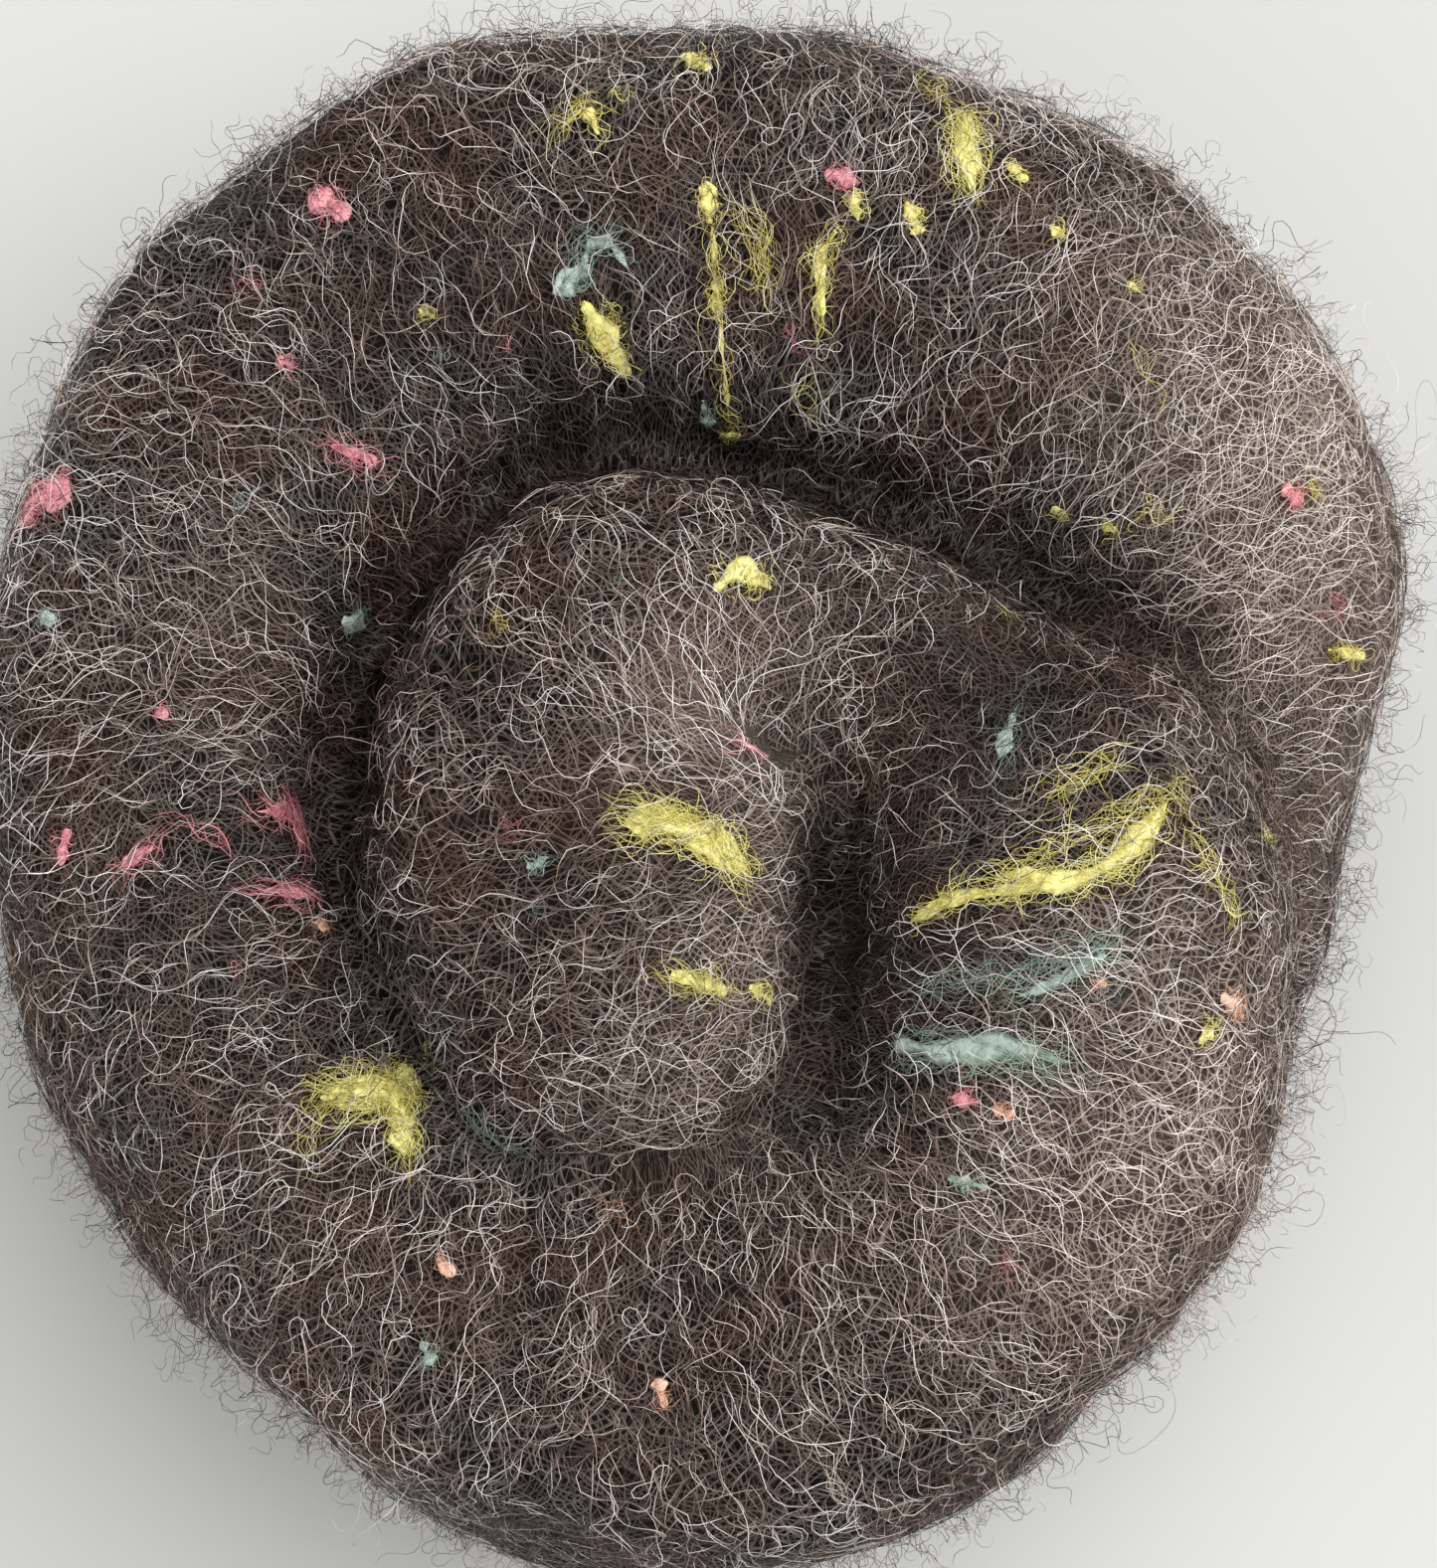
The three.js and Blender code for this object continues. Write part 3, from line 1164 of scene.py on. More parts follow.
class Parts:
    """Corners, faces and places on the map, gathered for one mesh."""

    def __init__(self) -> None:
        """Starts with nothing."""
        self.corners: list[np.ndarray] = []
        self.faces: list[np.ndarray] = []
        self.places: list[np.ndarray] = []
        self.count = 0

    def add(self, corners: np.ndarray, faces: np.ndarray, places: np.ndarray) -> None:
        """Adds corners, faces that number them from 0, and a place for each corner of each face."""
        self.corners.append(corners)
        self.faces.append(faces + self.count)
        self.places.append(places)
        self.count += len(corners)

    def add_strands(self, strands: Strands) -> None:
        """Adds strands as thin closed tubes.

        A tube has three sides and is carried along the strand's points. At a point the ring's first axis is
        the cross product of the way and the outward direction, and its second is the cross product of the
        first and the way. On the map a strand is a strip at its warmth, with a cell for each face.

        Args:
            strands: the strands.
        """
        sides, cell = 3, 0.004
        count, steps = strands.points.shape[:2]
        way = unit(np.gradient(strands.points, axis=1))
        side = unit(np.cross(way, strands.out))
        up = np.cross(side, way)
        angle = 2 * math.pi * np.arange(sides) / sides
        ring = side[:, :, None] * np.cos(angle)[:, None] + up[:, :, None] * np.sin(angle)[:, None]
        points = strands.points[:, :, None] + ring * (strands.thickness / 2)[:, :, None, None]
        points[..., 2] = np.maximum(points[..., 2], 0.05 * MM)
        strand, step, k = np.meshgrid(np.arange(count), np.arange(steps - 1), np.arange(sides), indexing="ij")
        here = (strand * steps + step) * sides
        a, b = here + k, here + (k + 1) % sides
        c, d = b + sides, a + sides
        quads = np.stack([a, b, c, a, c, d], axis=-1).reshape(-1, 3)
        first = np.arange(count) * steps * sides
        last = first + (steps - 1) * sides
        start = np.stack([first, first + 2, first + 1], axis=-1)
        end = np.stack([last, last + 1, last + 2], axis=-1)
        near = strands.warmth[strand] + 2 * cell * step / steps
        far = near + 2 * cell / steps
        v0 = strands.shade[strand, step] + cell * k
        v1 = strands.shade[strand, step + 1] + cell * k
        sheet = [near, v0, near, v0 + cell, far, v1 + cell, near, v0, far, v1 + cell, far, v1]
        u = strands.warmth
        tips = [
            np.stack([u, v, u, v + cell, u + cell, v], axis=-1).reshape(-1, 2)
            for v in (strands.shade[:, 0], strands.shade[:, -1])
        ]
        places = np.concatenate([np.stack(sheet, axis=-1).reshape(-1, 2), *tips])
        self.add(points.reshape(-1, 3), np.concatenate([quads, start, end]), places)

    def mesh(self, name: str) -> bpy.types.Mesh:
        """Makes the mesh."""
        return mesh_of(
            name, np.concatenate(self.corners), np.concatenate(self.faces), np.concatenate(self.places)
        )


def tube(rows: int, columns: int) -> np.ndarray:
    """Faces over a grid of corners whose last column meets its first.

    Args:
        rows: how many rows the grid has.
        columns: how many columns.

    Returns:
        Corner numbers, three a row, with the corners numbered row by row.
    """
    row, column = np.meshgrid(np.arange(rows - 1), np.arange(columns), indexing="ij")
    a, b = row * columns + column, row * columns + (column + 1) % columns
    return np.stack([a, b, b + columns, a, b + columns, a + columns], axis=-1).reshape(-1, 3)


def mesh_of(
    name: str, corners: np.ndarray, faces: np.ndarray, places: np.ndarray | None = None
) -> bpy.types.Mesh:
    """Makes a smooth mesh of triangles.

    Args:
        name: its name.
        corners: vertices, one a row.
        faces: vertex numbers, three a row.
        places: a place on the map for each corner of each face, or nothing.

    Returns:
        The mesh.
    """
    mesh = bpy.data.meshes.new(name)
    mesh.vertices.add(len(corners))
    mesh.vertices.foreach_set("co", corners.astype(np.float32).ravel())
    mesh.loops.add(faces.size)
    mesh.loops.foreach_set("vertex_index", faces.astype(np.int32).ravel())
    mesh.polygons.add(len(faces))
    mesh.polygons.foreach_set("loop_start", np.arange(0, faces.size, 3, dtype=np.int32))
    mesh.polygons.foreach_set("use_smooth", np.ones(len(faces), dtype=bool))
    if places is not None:
        mesh.uv_layers.new(name=UV_NAME).data.foreach_set("uv", places.astype(np.float32).ravel())
    mesh.update(calc_edges=True)
    return mesh


def placed(mesh: bpy.types.Mesh, material: bpy.types.Material) -> bpy.types.Object:
    """Puts a mesh in the scene as a piece of the batt.

    Args:
        mesh: the mesh.
        material: its material.

    Returns:
        The piece.
    """
    piece = bpy.data.objects.new(mesh.name, mesh)
    bpy.context.scene.collection.objects.link(piece)
    mesh.materials.append(material)
    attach(piece, BODY)
    return piece


@dataclass
class Core:
    """The soft body of the roll, which its fibres lie on.

    The turns are joined with voxels, and the map's second axis spans around metres. The body is drawn_in
    under the fibres. Its lumps fade out within faded of the floor, and what lies within pressed of the floor
    is flat on it. A face whose corners are more than torn apart on the map is looked up again from one row.
    Patches count as shelter by darker where they are dark, and as pale wool by paler where they are pale.
    """

    surface: Surface
    patches: Patches
    voxel: float = 2.4 * MM
    smoothing: int = 5
    tufts: Lumps = Lumps(seed=11, count=40, shortest=3.5 * MM, longest=9 * MM, height=0.28 * MM)
    around: float = 250 * MM
    drawn_in: float = 0.6 * MM
    faded: float = 6 * MM
    pressed: float = 1.2 * MM
    torn: float = 0.06
    darker: float = 2.2
    paler: float = 3.0

    def build(self, finish: CoreFinish) -> bpy.types.Object:
        """Joins the turns, smooths the creases between them and raises the lumps.

        Args:
            finish: what the body is dressed in.

        Returns:
            The body.
        """
        skin = bpy.data.objects.new("core_skin", self.skin())
        bpy.context.scene.collection.objects.link(skin)
        remesh = skin.modifiers.new("join", "REMESH")
        remesh.mode = "VOXEL"
        remesh.voxel_size = self.voxel
        smooth = skin.modifiers.new("soften", "SMOOTH")
        smooth.factor = 0.5
        smooth.iterations = self.smoothing
        triangles = skin.modifiers.new("triangles", "TRIANGULATE")
        triangles.keep_custom_normals = False
        evaluated = skin.evaluated_get(bpy.context.evaluated_depsgraph_get())
        soft = bpy.data.meshes.new_from_object(evaluated)
        bpy.data.objects.remove(skin)
        mesh = self.raised(soft)
        bpy.data.meshes.remove(soft)
        way = self.surface.travelled[-1]
        core = placed(mesh, finish.make(way, self.around))
        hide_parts(NODE)
        return core

    def skin(self) -> bpy.types.Mesh:
        """The strip's surface as a closed mesh: the grid of its points, with a fan over each tip."""
        points = self.surface.plain
        rows, columns = points.shape[:2]
        corners = np.concatenate([points.reshape(-1, 3), points[[0, -1]].mean(axis=1)])
        ring = np.arange(columns)
        after = (ring + 1) % columns
        tip, end = rows * columns, (rows - 1) * columns
        first = np.stack([np.full(columns, tip), after, ring], axis=-1)
        last = np.stack([np.full(columns, tip + 1), end + ring, end + after], axis=-1)
        return mesh_of("core_skin", corners, np.concatenate([tube(rows, columns), first, last]))

    def raised(self, soft: bpy.types.Mesh) -> bpy.types.Mesh:
        """Raises the lumps and tufts along the normals, and lays the map of way and angle on the mesh.

        Args:
            soft: the joined and smoothed turns.

        Returns:
            The body's mesh, whose vertices also hold their painted shade and their painted light, partly
            paler wool.
        """
        surface, count = self.surface, len(soft.vertices)
        corners, out = np.empty(count * 3, np.float32), np.empty(count * 3, np.float32)
        soft.vertices.foreach_get("co", corners)
        soft.vertex_normals.foreach_get("vector", out)
        corners, out = corners.reshape(-1, 3).astype(float), out.reshape(-1, 3).astype(float)
        way, angle, row = surface.places_of(corners)
        shelter = surface.shelter_of(corners, out, row)
        held = np.clip(corners[:, 2] / self.faded, 0, 1)
        height = (surface.raised_by(corners, out) + self.tufts.at(corners) - self.drawn_in) * held
        corners += out * height[:, None]
        corners[:, 2] = np.where(corners[:, 2] < self.pressed, 0, corners[:, 2])
        faces = np.empty(len(soft.loops), np.int32)
        soft.loops.foreach_get("vertex_index", faces)
        faces = faces.reshape(-1, 3)
        places = self.places(way[faces], angle[faces])
        apart = (np.ptp(places, axis=1) > self.torn).any(axis=1)
        torn = faces[apart]
        way, angle = surface.place_in(corners[torn].reshape(-1, 3), np.repeat(row[torn[:, 0]], 3))
        places[apart] = self.places(way.reshape(-1, 3), angle.reshape(-1, 3))
        mesh = mesh_of("wool_core", corners, faces, places.reshape(-1, 2))
        shift = self.patches.at(corners)[:, 0]
        # Painted shade: the crease shade, with the shade of dark patches added; pale patches below give
        # painted light, partly paler wool.
        shelter = np.clip(shelter + np.clip(-shift, 0, 1) * self.darker, 0, 1)
        for name, values in ((PAINTED_SHADE, shelter), (PALE_AND_PAINTED_LIGHT, np.clip(shift * self.paler, 0, 1))):
            mesh.attributes.new(name, "FLOAT", "POINT").data.foreach_set("value", values.astype(np.float32))
        return mesh

    def places(self, way: np.ndarray, angle: np.ndarray) -> np.ndarray:
        """Places on the map for the corners of faces, with angles kept within half a turn of the first."""
        first = angle[:, :1]
        angle = first + (angle - first + math.pi) % (2 * math.pi) - math.pi
        return np.stack([way / self.surface.travelled[-1], angle / (2 * math.pi)], axis=-1)


@dataclass(frozen=True)
class PhotoView:
    """The camera over the roll, and the pixels of the photo at which it sees points."""

    elevation: float = 82.0
    distance: float = 0.6
    target: tuple[float, float, float] = (2.9 * MM, 2.4 * MM, 45 * MM)
    pixel: float = 0.126 * MM
    sensor: float = 36.0

    def back(self) -> np.ndarray:
        """The direction from the roll to the camera."""
        tilt = math.radians(self.elevation)
        return np.array([0.0, -math.cos(tilt), math.sin(tilt)])

    def place(self) -> np.ndarray:
        """Where the camera stands."""
        return np.array(self.target) + self.back() * self.distance

    def lens(self) -> float:
        """The focal length at which one pixel of the photo spans its size at the target."""
        return self.sensor * self.distance / (PHOTO_HEIGHT * self.pixel)

    def pixels(self, points: np.ndarray) -> np.ndarray:
        """The pixels at which points are seen.

        Args:
            points: points in space, along the last axis.

        Returns:
            Pixels to the right and down, along the last axis.
        """
        back = self.back()
        up = np.array([0.0, back[2], -back[1]])
        away = points - self.place()
        depth = -(away @ back)
        scale = self.lens() / self.sensor * PHOTO_HEIGHT / depth
        right, top = away[..., 0] * scale, (away @ up) * scale
        return np.stack([PHOTO_WIDTH / 2 + right, PHOTO_HEIGHT / 2 - top], axis=-1)

    def build(self) -> None:
        """Makes the camera and gives it to the scene."""
        data = bpy.data.cameras.new("camera")
        data.sensor_width = self.sensor
        data.lens = self.lens()
        data.clip_start = 0.01
        camera = bpy.data.objects.new("camera", data)
        camera.location = self.place()
        camera.rotation_euler = Vector(-self.back()).to_track_quat("-Z", "Y").to_euler()
        bpy.context.scene.collection.objects.link(camera)
        bpy.context.scene.camera = camera


class Lamp(NamedTuple):
    """A square soft light that points at the roll: its name, place, width, power and colour."""

    name: str
    place: tuple[float, float, float]
    width: float
    power: float
    colour: Colour


@dataclass(frozen=True)
class Studio:
    """A plain pale floor, a soft window light from the upper right of the view, a weak fill and a sky."""

    floor_colour: Colour = (0.5, 0.5, 0.482)
    floor_size: float = 3.0
    lamps: tuple[Lamp, ...] = (
        Lamp("window", (0.75, 0.45, 1.15), 2.0, 34.0, (1.0, 0.985, 0.96)),
        Lamp("fill", (-0.9, -0.75, 0.6), 1.2, 9.0, (1.0, 0.98, 0.95)),
    )
    aim: tuple[float, float, float] = (0.0, 0.0, 40 * MM)
    sky_colour: Colour = (0.93, 0.95, 1.0)
    sky_strength: float = 0.75

    def light(self, lamp: Lamp) -> None:
        """Makes one lamp."""
        data = bpy.data.lights.new(lamp.name, "AREA")
        data.energy = lamp.power
        data.size = lamp.width
        data.color = lamp.colour
        light = bpy.data.objects.new(lamp.name, data)
        light.location = lamp.place
        way = Vector(self.aim) - Vector(lamp.place)
        light.rotation_euler = way.to_track_quat("-Z", "Y").to_euler()
        bpy.context.scene.collection.objects.link(light)

    def floor(self) -> None:
        """Makes the floor."""
        half = self.floor_size / 2
        corners = np.array([(-half, -half, 0), (half, -half, 0), (half, half, 0), (-half, half, 0)])
        mesh = mesh_of("floor", corners, np.array([(0, 1, 2), (0, 2, 3)]))
        board = Board("floor_paint")
        inputs = {"Base Color": (*self.floor_colour, 1.0), "Roughness": 0.6}
        mesh.materials.append(board.finish(board.node("ShaderNodeBsdfPrincipled", {}, inputs)))
        floor = bpy.data.objects.new("floor", mesh)
        bpy.context.scene.collection.objects.link(floor)

    def build(self) -> None:
        """Makes the floor, the lamps and the sky."""
        self.floor()
        for lamp in self.lamps:
            self.light(lamp)
        world = bpy.data.worlds.new("sky")
        world.use_nodes = True
        sky = world.node_tree.nodes["Background"]
        sky.inputs["Color"].default_value = (*self.sky_colour, 1.0)
        sky.inputs["Strength"].default_value = self.sky_strength
        bpy.context.scene.world = world
        bpy.context.scene.view_settings.view_transform = "Standard"


UNDER = Crimp(
    shortest=16 * MM, longest=32 * MM, thickness=0.12 * MM, wave=18 * MM, swing_low=0.2, swing_high=0.8,
    heading_spread=0.3, lift=0.1 * MM, lift_spread=0.4 * MM, arch=0.3 * MM, points=11,
    tint=Tint(0.36, 0.18, 0.62, 0.24, 0.16),
)
MIDDLE = Crimp(
    shortest=13 * MM, longest=26 * MM, thickness=0.1 * MM, wave=13 * MM, swing_low=0.3, swing_high=1.0,
    heading_spread=0.34, lift=0.35 * MM, lift_spread=0.9 * MM, arch=0.6 * MM, points=11,
    tint=Tint(0.58, 0.2, 0.48, 0.25, 0.24),
)
OVER = Crimp(
    shortest=10 * MM, longest=23 * MM, thickness=0.09 * MM, wave=11 * MM, swing_low=0.4, swing_high=1.2,
    heading_spread=0.4, lift=0.6 * MM, lift_spread=1.4 * MM, arch=1.2 * MM, points=12,
    tint=Tint(0.84, 0.15, 0.24, 0.2, 0.26),
)
CURLED = Crimp(
    shortest=9 * MM, longest=18 * MM, thickness=0.09 * MM, wave=12 * MM, swing_low=1.5, swing_high=2.4,
    heading_spread=1.2, lift=0.9 * MM, lift_spread=1.6 * MM, arch=1.6 * MM, points=15,
    tint=Tint(0.84, 0.12, 0.2, 0.2, 0.2),
)
FUZZ = Crimp(
    shortest=6 * MM, longest=16 * MM, thickness=0.085 * MM, wave=6.5 * MM, swing_low=0.9, swing_high=2.1,
    heading_spread=0.6, lift=-0.6 * MM, points=13,
    tint=Tint(0.43, 0.18, 0.66, 0.24, 0.18),
)
FRIZZ = Crimp(
    shortest=5 * MM, longest=10 * MM, thickness=0.08 * MM, wave=4.6 * MM, swing_low=1.3, swing_high=2.6,
    heading_spread=0.8, lift=-0.4 * MM, points=11,
    tint=Tint(0.37, 0.16, 0.7, 0.22, 0.18),
)
# Crease fibres have a low shade, which paints part of the shade in the creases.
BRIDGE = Crimp(
    shortest=7 * MM, longest=17 * MM, thickness=0.11 * MM, wave=12 * MM, swing_low=0.5, swing_high=1.6,
    heading_spread=0.45, lift=-0.3 * MM, points=10,
    tint=Tint(0.3, 0.24, 0.25, 0.2, 0.18),
)
LOOP = Crimp(
    shortest=22 * MM, longest=42 * MM, thickness=0.09 * MM, wave=26 * MM, swing_low=1.6, swing_high=2.6,
    heading_spread=0.6, lift=-0.3 * MM, points=22,
    tint=Tint(0.66, 0.15, 0.3, 0.2, 0.1),
)
NEP = Crimp(
    shortest=2.5 * MM, longest=6 * MM, thickness=0.115 * MM, wave=3.6 * MM, swing_low=0.9, swing_high=2.4,
    heading_spread=1.2, lift=0.35 * MM, lift_spread=0.8 * MM, arch=0.4 * MM, points=8,
    tint=Tint(0.68, 0.2, 0.3, 0.25, 0.12),
)
LOCK = Crimp(
    shortest=5 * MM, longest=13 * MM, thickness=0.115 * MM, wave=7 * MM, swing_low=0.3, swing_high=1.3,
    heading_spread=0.22, lift=0.35 * MM, lift_spread=0.8 * MM, arch=0.3 * MM, points=10,
    tint=Tint(0.7, 0.2, 0.3, 0.25, 0.14),
)


@dataclass(frozen=True)
class Layer:
    """One piece of loose fibres: its name, its kind, where it is, how many and its random numbers' seed."""

    name: str
    crimp: Crimp
    ground: Ground
    count: int
    seed: int


LAYERS = (
    Layer("under_fibres", UNDER, Ground.OPEN, 860, 21),
    Layer("middle_fibres_a", MIDDLE, Ground.OPEN, 3100, 31),
    Layer("middle_fibres_b", MIDDLE, Ground.OPEN, 400, 32),
    Layer("over_fibres", OVER, Ground.OPEN, 2900, 41),
    Layer("curled_fibres", CURLED, Ground.OPEN, 480, 51),
    Layer("fringe_fibres", FUZZ, Ground.RIM, 2690, 61),
    Layer("frizz_fibres", FRIZZ, Ground.STRAY, 760, 64),
    Layer("crease_fibres", BRIDGE, Ground.CREASE, 450, 62),
    Layer("crease_loops", LOOP, Ground.CREASE, 36, 65),
    Layer("stray_fibres", LOOP, Ground.STRAY, 110, 63),
)


class Lock(NamedTuple):
    """A fleck or lock of dyed wool: the pixels of the photo that it runs through, its width, its strength."""

    path: tuple[tuple[int, int], ...]
    width: int
    strength: float


def lock(width: int, strength: float, *path: tuple[int, int]) -> Lock:
    """A lock through the pixels of a path, with the path written last."""
    return Lock(path, width, strength)


LOCKS = {
    Dye.YELLOW: (
        lock(26, 0.8, (692, 58), (708, 68)),
        lock(18, 0.3, (612, 92), (640, 98)),
        lock(14, 0.6, (565, 128), (588, 112), (600, 132)),
        lock(28, 0.5, (932, 78), (950, 104)),
        lock(32, 1.0, (968, 118), (972, 150), (976, 184)),
        lock(16, 0.6, (1014, 166), (1030, 180)),
        lock(18, 1.0, (711, 188), (713, 220)),
        lock(7, 0.6, (716, 222), (720, 290), (726, 345), (734, 428)),
        lock(16, 0.9, (722, 282), (722, 318)),
        lock(26, 0.5, (745, 220), (762, 252), (768, 290)),
        lock(14, 0.9, (838, 236), (824, 262), (826, 318)),
        lock(15, 0.9, (859, 194), (862, 218)),
        lock(20, 0.9, (914, 208), (922, 230)),
        lock(36, 0.7, (592, 312), (606, 336), (626, 370)),
        lock(12, 0.7, (424, 312), (434, 318)),
        lock(14, 0.7, (728, 438), (740, 436)),
        lock(26, 1.0, (724, 590), (745, 574), (768, 588)),
        lock(22, 0.3, (496, 618), (510, 636)),
        lock(38, 1.35, (640, 830), (672, 826), (704, 846), (744, 872)),
        lock(20, 0.8, (680, 982), (706, 990), (726, 998)),
        lock(18, 0.6, (756, 998), (774, 1004)),
        lock(18, 0.65, (920, 932), (960, 908), (1010, 892), (1060, 884)),
        lock(28, 0.8, (1010, 878), (1075, 884), (1125, 862), (1170, 812)),
        lock(16, 0.55, (1030, 862), (1090, 836), (1140, 812), (1190, 792)),
        lock(22, 0.4, (1050, 806), (1088, 784), (1128, 764)),
        lock(12, 0.5, (1186, 796), (1204, 850), (1222, 880), (1240, 916)),
        lock(46, 1.2, (438, 1060), (416, 1082), (380, 1096), (336, 1102)),
        lock(30, 1.1, (388, 1086), (400, 1116), (406, 1154)),
        lock(16, 0.5, (350, 1096), (326, 1112), (306, 1166)),
        lock(32, 1.1, (420, 1058), (428, 1084), (430, 1110)),
        lock(11, 0.6, (1058, 230), (1068, 238)),
        lock(10, 0.7, (1136, 286), (1144, 292)),
        lock(12, 0.25, (1152, 360), (1158, 392)),
        lock(28, 0.35, (1150, 512), (1172, 530)),
        lock(10, 0.8, (1108, 530), (1120, 532)),
        lock(18, 0.8, (1340, 654), (1368, 660)),
        lock(16, 0.5, (1316, 486), (1324, 500)),
        lock(15, 0.7, (1208, 1046), (1222, 1030)),
        lock(9, 0.6, (1282, 834), (1290, 838)),
        lock(9, 0.6, (1060, 512), (1070, 516)),
        lock(14, 0.45, (1008, 610), (1018, 622)),
        lock(14, 0.25, (806, 392), (818, 420)),
    ),
    Dye.PINK: (
        lock(34, 1.0, (318, 200), (344, 214)),
        lock(40, 1.4, (24, 520), (44, 498), (66, 500)),
        lock(16, 0.8, (338, 450), (376, 464)),
        lock(13, 0.9, (282, 364), (294, 368)),
        lock(13, 0.9, (596, 458), (604, 464)),
        lock(24, 0.7, (836, 176), (858, 182)),
        lock(18, 0.9, (262, 816), (298, 818), (304, 848)),
        lock(18, 0.8, (272, 896), (312, 900)),
        lock(15, 0.9, (68, 838), (62, 866)),
        lock(14, 0.6, (122, 872), (152, 852)),
        lock(10, 0.5, (196, 838), (220, 846)),
        lock(11, 0.8, (160, 714), (166, 720)),
        lock(18, 0.3, (232, 966), (244, 980)),
        lock(20, 0.9, (1294, 494), (1306, 502)),
        lock(24, 0.4, (1330, 604), (1352, 618)),
        lock(14, 0.7, (958, 1104), (982, 1108)),
        lock(8, 0.7, (752, 738), (758, 744)),
        lock(18, 0.3, (506, 832), (524, 840)),
        lock(20, 0.3, (790, 336), (812, 346)),
        lock(22, 0.35, (238, 278), (254, 292)),
        lock(20, 0.35, (1000, 1266), (1022, 1276)),
        lock(10, 0.35, (508, 342), (514, 352)),
    ),
    Dye.GREEN: (
        lock(30, 0.85, (562, 290), (586, 272)),
        lock(12, 0.8, (586, 272), (594, 246), (612, 244), (630, 268)),
        lock(28, 0.9, (348, 624), (366, 630)),
        lock(16, 0.7, (44, 620), (56, 624)),
        lock(13, 0.5, (240, 500), (248, 510)),
        lock(16, 0.6, (708, 406), (714, 426)),
        lock(15, 0.7, (1018, 722), (1006, 760)),
        lock(26, 0.5, (936, 992), (990, 984), (1050, 972), (1116, 956)),
        lock(14, 0.6, (1024, 1002), (1070, 984), (1108, 962)),
        lock(36, 0.62, (906, 1050), (950, 1058), (1010, 1054), (1066, 1066)),
        lock(14, 0.7, (958, 1186), (988, 1194)),
        lock(16, 0.6, (426, 1354), (434, 1370)),
        lock(16, 0.8, (534, 874), (548, 864)),
        lock(18, 0.25, (524, 910), (550, 922)),
        lock(16, 0.5, (470, 1122), (508, 1146), (550, 1172)),
        lock(14, 0.4, (1098, 992), (1126, 1000)),
        lock(11, 0.4, (440, 350), (446, 358)),
        lock(11, 0.4, (616, 588), (628, 592)),
    ),
    Dye.PEACH: (
        lock(24, 0.9, (1232, 1004), (1246, 1020)),
        lock(14, 0.8, (1002, 1116), (1014, 1122)),
        lock(12, 0.7, (663, 1390), (668, 1412)),
        lock(14, 0.6, (442, 1268), (454, 1280)),
        lock(12, 0.35, (612, 1204), (618, 1224)),
        lock(13, 0.7, (316, 928), (328, 932)),
        lock(9, 0.6, (1100, 986), (1110, 990)),
    ),
}


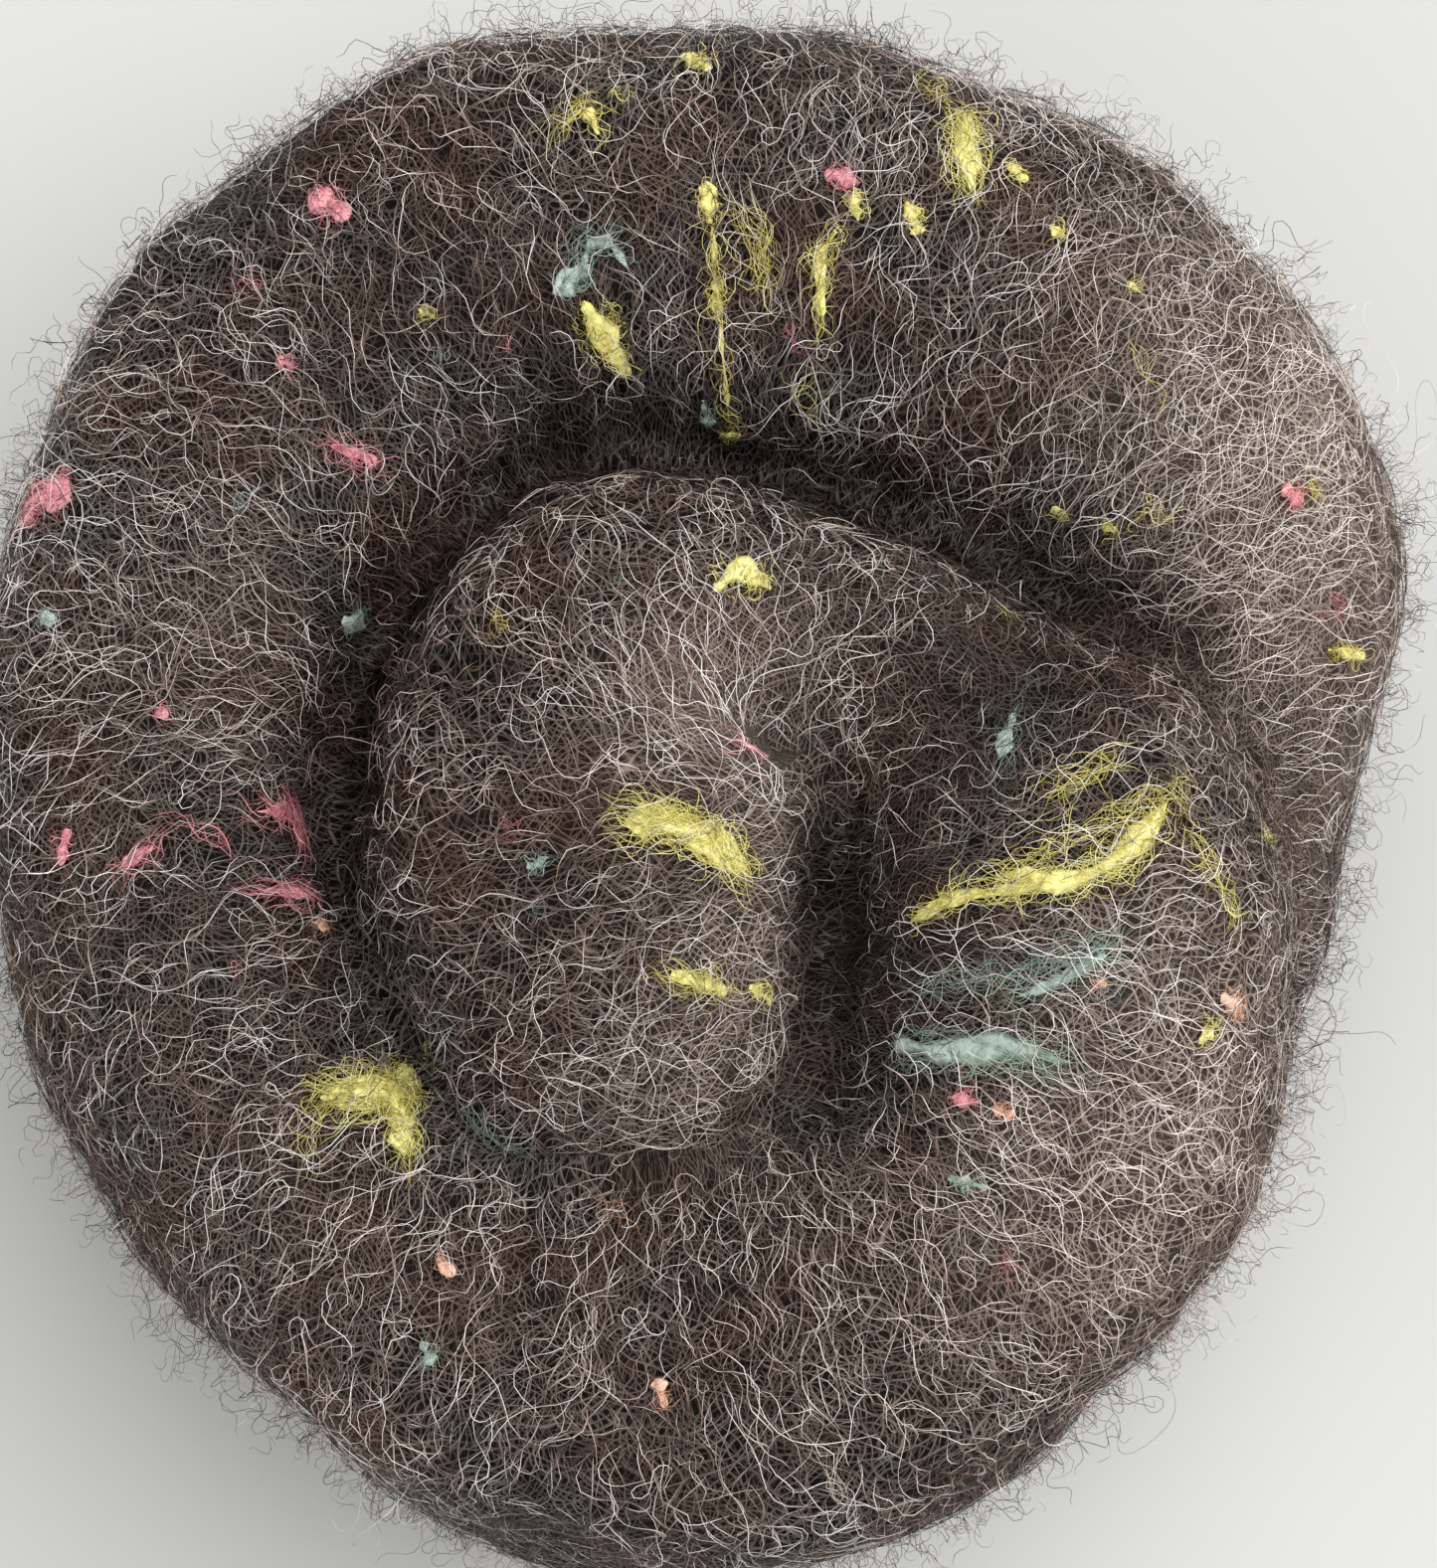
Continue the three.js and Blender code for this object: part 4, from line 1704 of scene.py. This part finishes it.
class Dyer:
    """Cards the flecks and locks of dyed wool into the batt where the photo shows them.

    A lock shorter than fleck_length widths is a fleck. Both have fibres for their area in square
    millimetres. One that is stronger than padded_from has a felted pad as well, whose half thickness is at
    most thickest.
    """

    way_points: int = 40
    fleck_length: float = 2.2
    fleck_density: float = 1.3
    lock_density: float = 1.5
    padded_from: float = 0.55
    thickest: float = 0.55 * MM
    pad_raised: float = 0.2 * MM
    bump_height: float = 0.16 * MM

    def __init__(self, surface: Surface, patches: Patches, view: PhotoView, seed: int) -> None:
        """Keeps the surface and the view, and starts a source of random numbers."""
        self.surface = surface
        self.view = view
        self.spinner = Spinner(surface, patches, seed)
        self.rng = np.random.default_rng(seed + 1)
        self.bumps = Lumps(71, 24, 1.2 * MM, 4 * MM, self.bump_height)

    def way(self, lock: Lock, count: int) -> tuple[np.ndarray, np.ndarray]:
        """Finds places along a lock, evenly from its first pixel to its last.

        Args:
            lock: the lock.
            count: how many places.

        Returns:
            Rows and columns, with their parts.
        """
        wanted = np.array(lock.path, float)
        row, _ = self.surface.seen_at(self.view, wanted)
        row, column = self.surface.seen_at(self.view, wanted, float(row[len(row) // 2]))
        places = spline(np.stack([row, column], axis=1), np.linspace(0, 1, count))
        return places[:, 0], places[:, 1]

    def strands(self, lock: Lock) -> Strands:
        """Runs dyed fibres along a lock, or in tight curls where it is a fleck.

        Args:
            lock: the lock.

        Returns:
            The strands.
        """
        row, column = self.way(lock, self.way_points)
        points = self.surface.read(self.surface.points, row, column)
        length = np.linalg.norm(np.diff(points, axis=0), axis=1).sum()
        width = lock.width * self.view.pixel
        fleck = length < self.fleck_length * width
        area = (length + width) * width / MM**2
        count = int(lock.strength * (6 + area * (self.fleck_density if fleck else self.lock_density)))
        pick = self.rng.integers(0, self.way_points, count)
        row_step = self.surface.read(self.surface.row_step, row, column)[pick]
        column_step = self.surface.read(self.surface.column_step, row, column)[pick]
        ahead = np.gradient(row)[pick] * row_step
        aside = np.gradient(column)[pick] * column_step
        heading = np.arctan2(aside, ahead)
        crimp = NEP if fleck else LOCK
        shift = np.clip(self.rng.normal(0, 0.3 * width, count), -0.6 * width, 0.6 * width)
        rows = row[pick] - np.sin(heading) * shift / np.maximum(row_step, FINEST_STEP)
        columns = column[pick] + np.cos(heading) * shift / np.maximum(column_step, FINEST_STEP)
        heading += self.rng.normal(0, crimp.heading_spread, count)
        made = self.spinner.path(crimp, rows, columns, heading)
        made.shade = np.clip(made.shade - 0.25 * (1 - lock.strength), 0.02, 0.98)
        return made

    def pad(self, lock: Lock, parts: Parts) -> None:
        """Adds the felted middle of a lock.

        The pad is a closed tube along the lock. Its section is a flat ellipse whose half width is that of
        the lock times the square root of 1 less the square of the place between the ends, from -1 to 1, and
        it is uneven by the bumps.

        Args:
            lock: the lock.
            parts: where the pad goes.
        """
        steps, sides = 15, 12
        row, column = self.way(lock, steps)
        centre = self.surface.read(self.surface.points, row, column)
        out = unit(self.surface.read(self.surface.out, row, column))
        along = unit(np.gradient(centre, axis=0))
        side = unit(np.cross(out, along))
        half = lock.width * self.view.pixel / 2
        t = np.linspace(-0.985, 0.985, steps)
        open_width = np.sqrt(1 - t**2)
        centre = centre + along * (half * 0.6 * t)[:, None]
        angle = 2 * math.pi * np.arange(sides) / sides
        uneven = 1 + 0.3 * np.sin(5.3 * t + lock.path[0][0])
        wide = (0.5 + 0.22 * lock.strength) * half * open_width * uneven
        thick = np.minimum(0.32 * half, self.thickest) * open_width
        points = (
            centre[:, None]
            + side[:, None] * (wide[:, None] * np.cos(angle))[..., None]
            + out[:, None] * (self.pad_raised + thick[:, None] * np.sin(angle))[..., None]
        )
        bump = self.bumps.at(points)
        points = points + out[:, None] * (bump * open_width[:, None])[..., None]
        points += side[:, None] * (np.roll(bump, 3, axis=1) * 2 * np.cos(angle))[..., None]
        ring, last = np.arange(1, sides - 1), (steps - 1) * sides
        first_cap = np.stack([ring * 0, ring, ring + 1], axis=-1)
        last_cap = np.stack([ring * 0 + last, last + ring + 1, last + ring], axis=-1)
        faces = np.concatenate([tube(steps, sides)[:, ::-1], first_cap, last_cap])
        corners = points.reshape(-1, 3)
        shade = 0.6 + 0.27 * lock.strength + bump.ravel() / self.bump_height * 0.05
        place = np.stack([0.3 + 0.1 * np.sin(corners[:, 0] / MM), np.clip(shade, 0.02, 0.97)], axis=-1)
        parts.add(corners, faces, place[faces].reshape(-1, 2))

    def build(self) -> list[bpy.types.Object]:
        """Makes one piece for each dye.

        Returns:
            The pieces.
        """
        pieces = []
        for dye, locks in LOCKS.items():
            parts = Parts()
            for each in locks:
                parts.add_strands(self.strands(each))
                if each.strength > self.padded_from:
                    self.pad(each, parts)
            pieces.append(placed(parts.mesh(f"{dye.value}_locks"), FINISHES[dye].make()))
        return pieces


def main() -> None:
    """Builds the studio, the core, the fibres and the dyed flecks, and reports each piece."""
    logging.basicConfig(level=logging.INFO, format="%(name)s: %(message)s")
    view = PhotoView()
    view.build()
    Studio().build()
    surface = Surface(Strip(), Lumps(seed=5, count=16, shortest=18 * MM, longest=50 * MM, height=0.9 * MM))
    patches = Patches(surface, view)
    core = Core(surface, patches).build(CoreFinish())
    log.info("%s: %d faces", core.name, len(core.data.polygons))
    natural = FINISHES[Dye.NATURAL].make()
    for layer in LAYERS:
        parts = Parts()
        parts.add_strands(Spinner(surface, patches, layer.seed).grow(layer))
        piece = placed(parts.mesh(layer.name), natural)
        log.info("%s: %d strands, %d faces", piece.name, layer.count, len(piece.data.polygons))
    for piece in Dyer(surface, patches, view, 81).build():
        log.info("%s: %d faces", piece.name, len(piece.data.polygons))


if __name__ == "__main__":
    main()
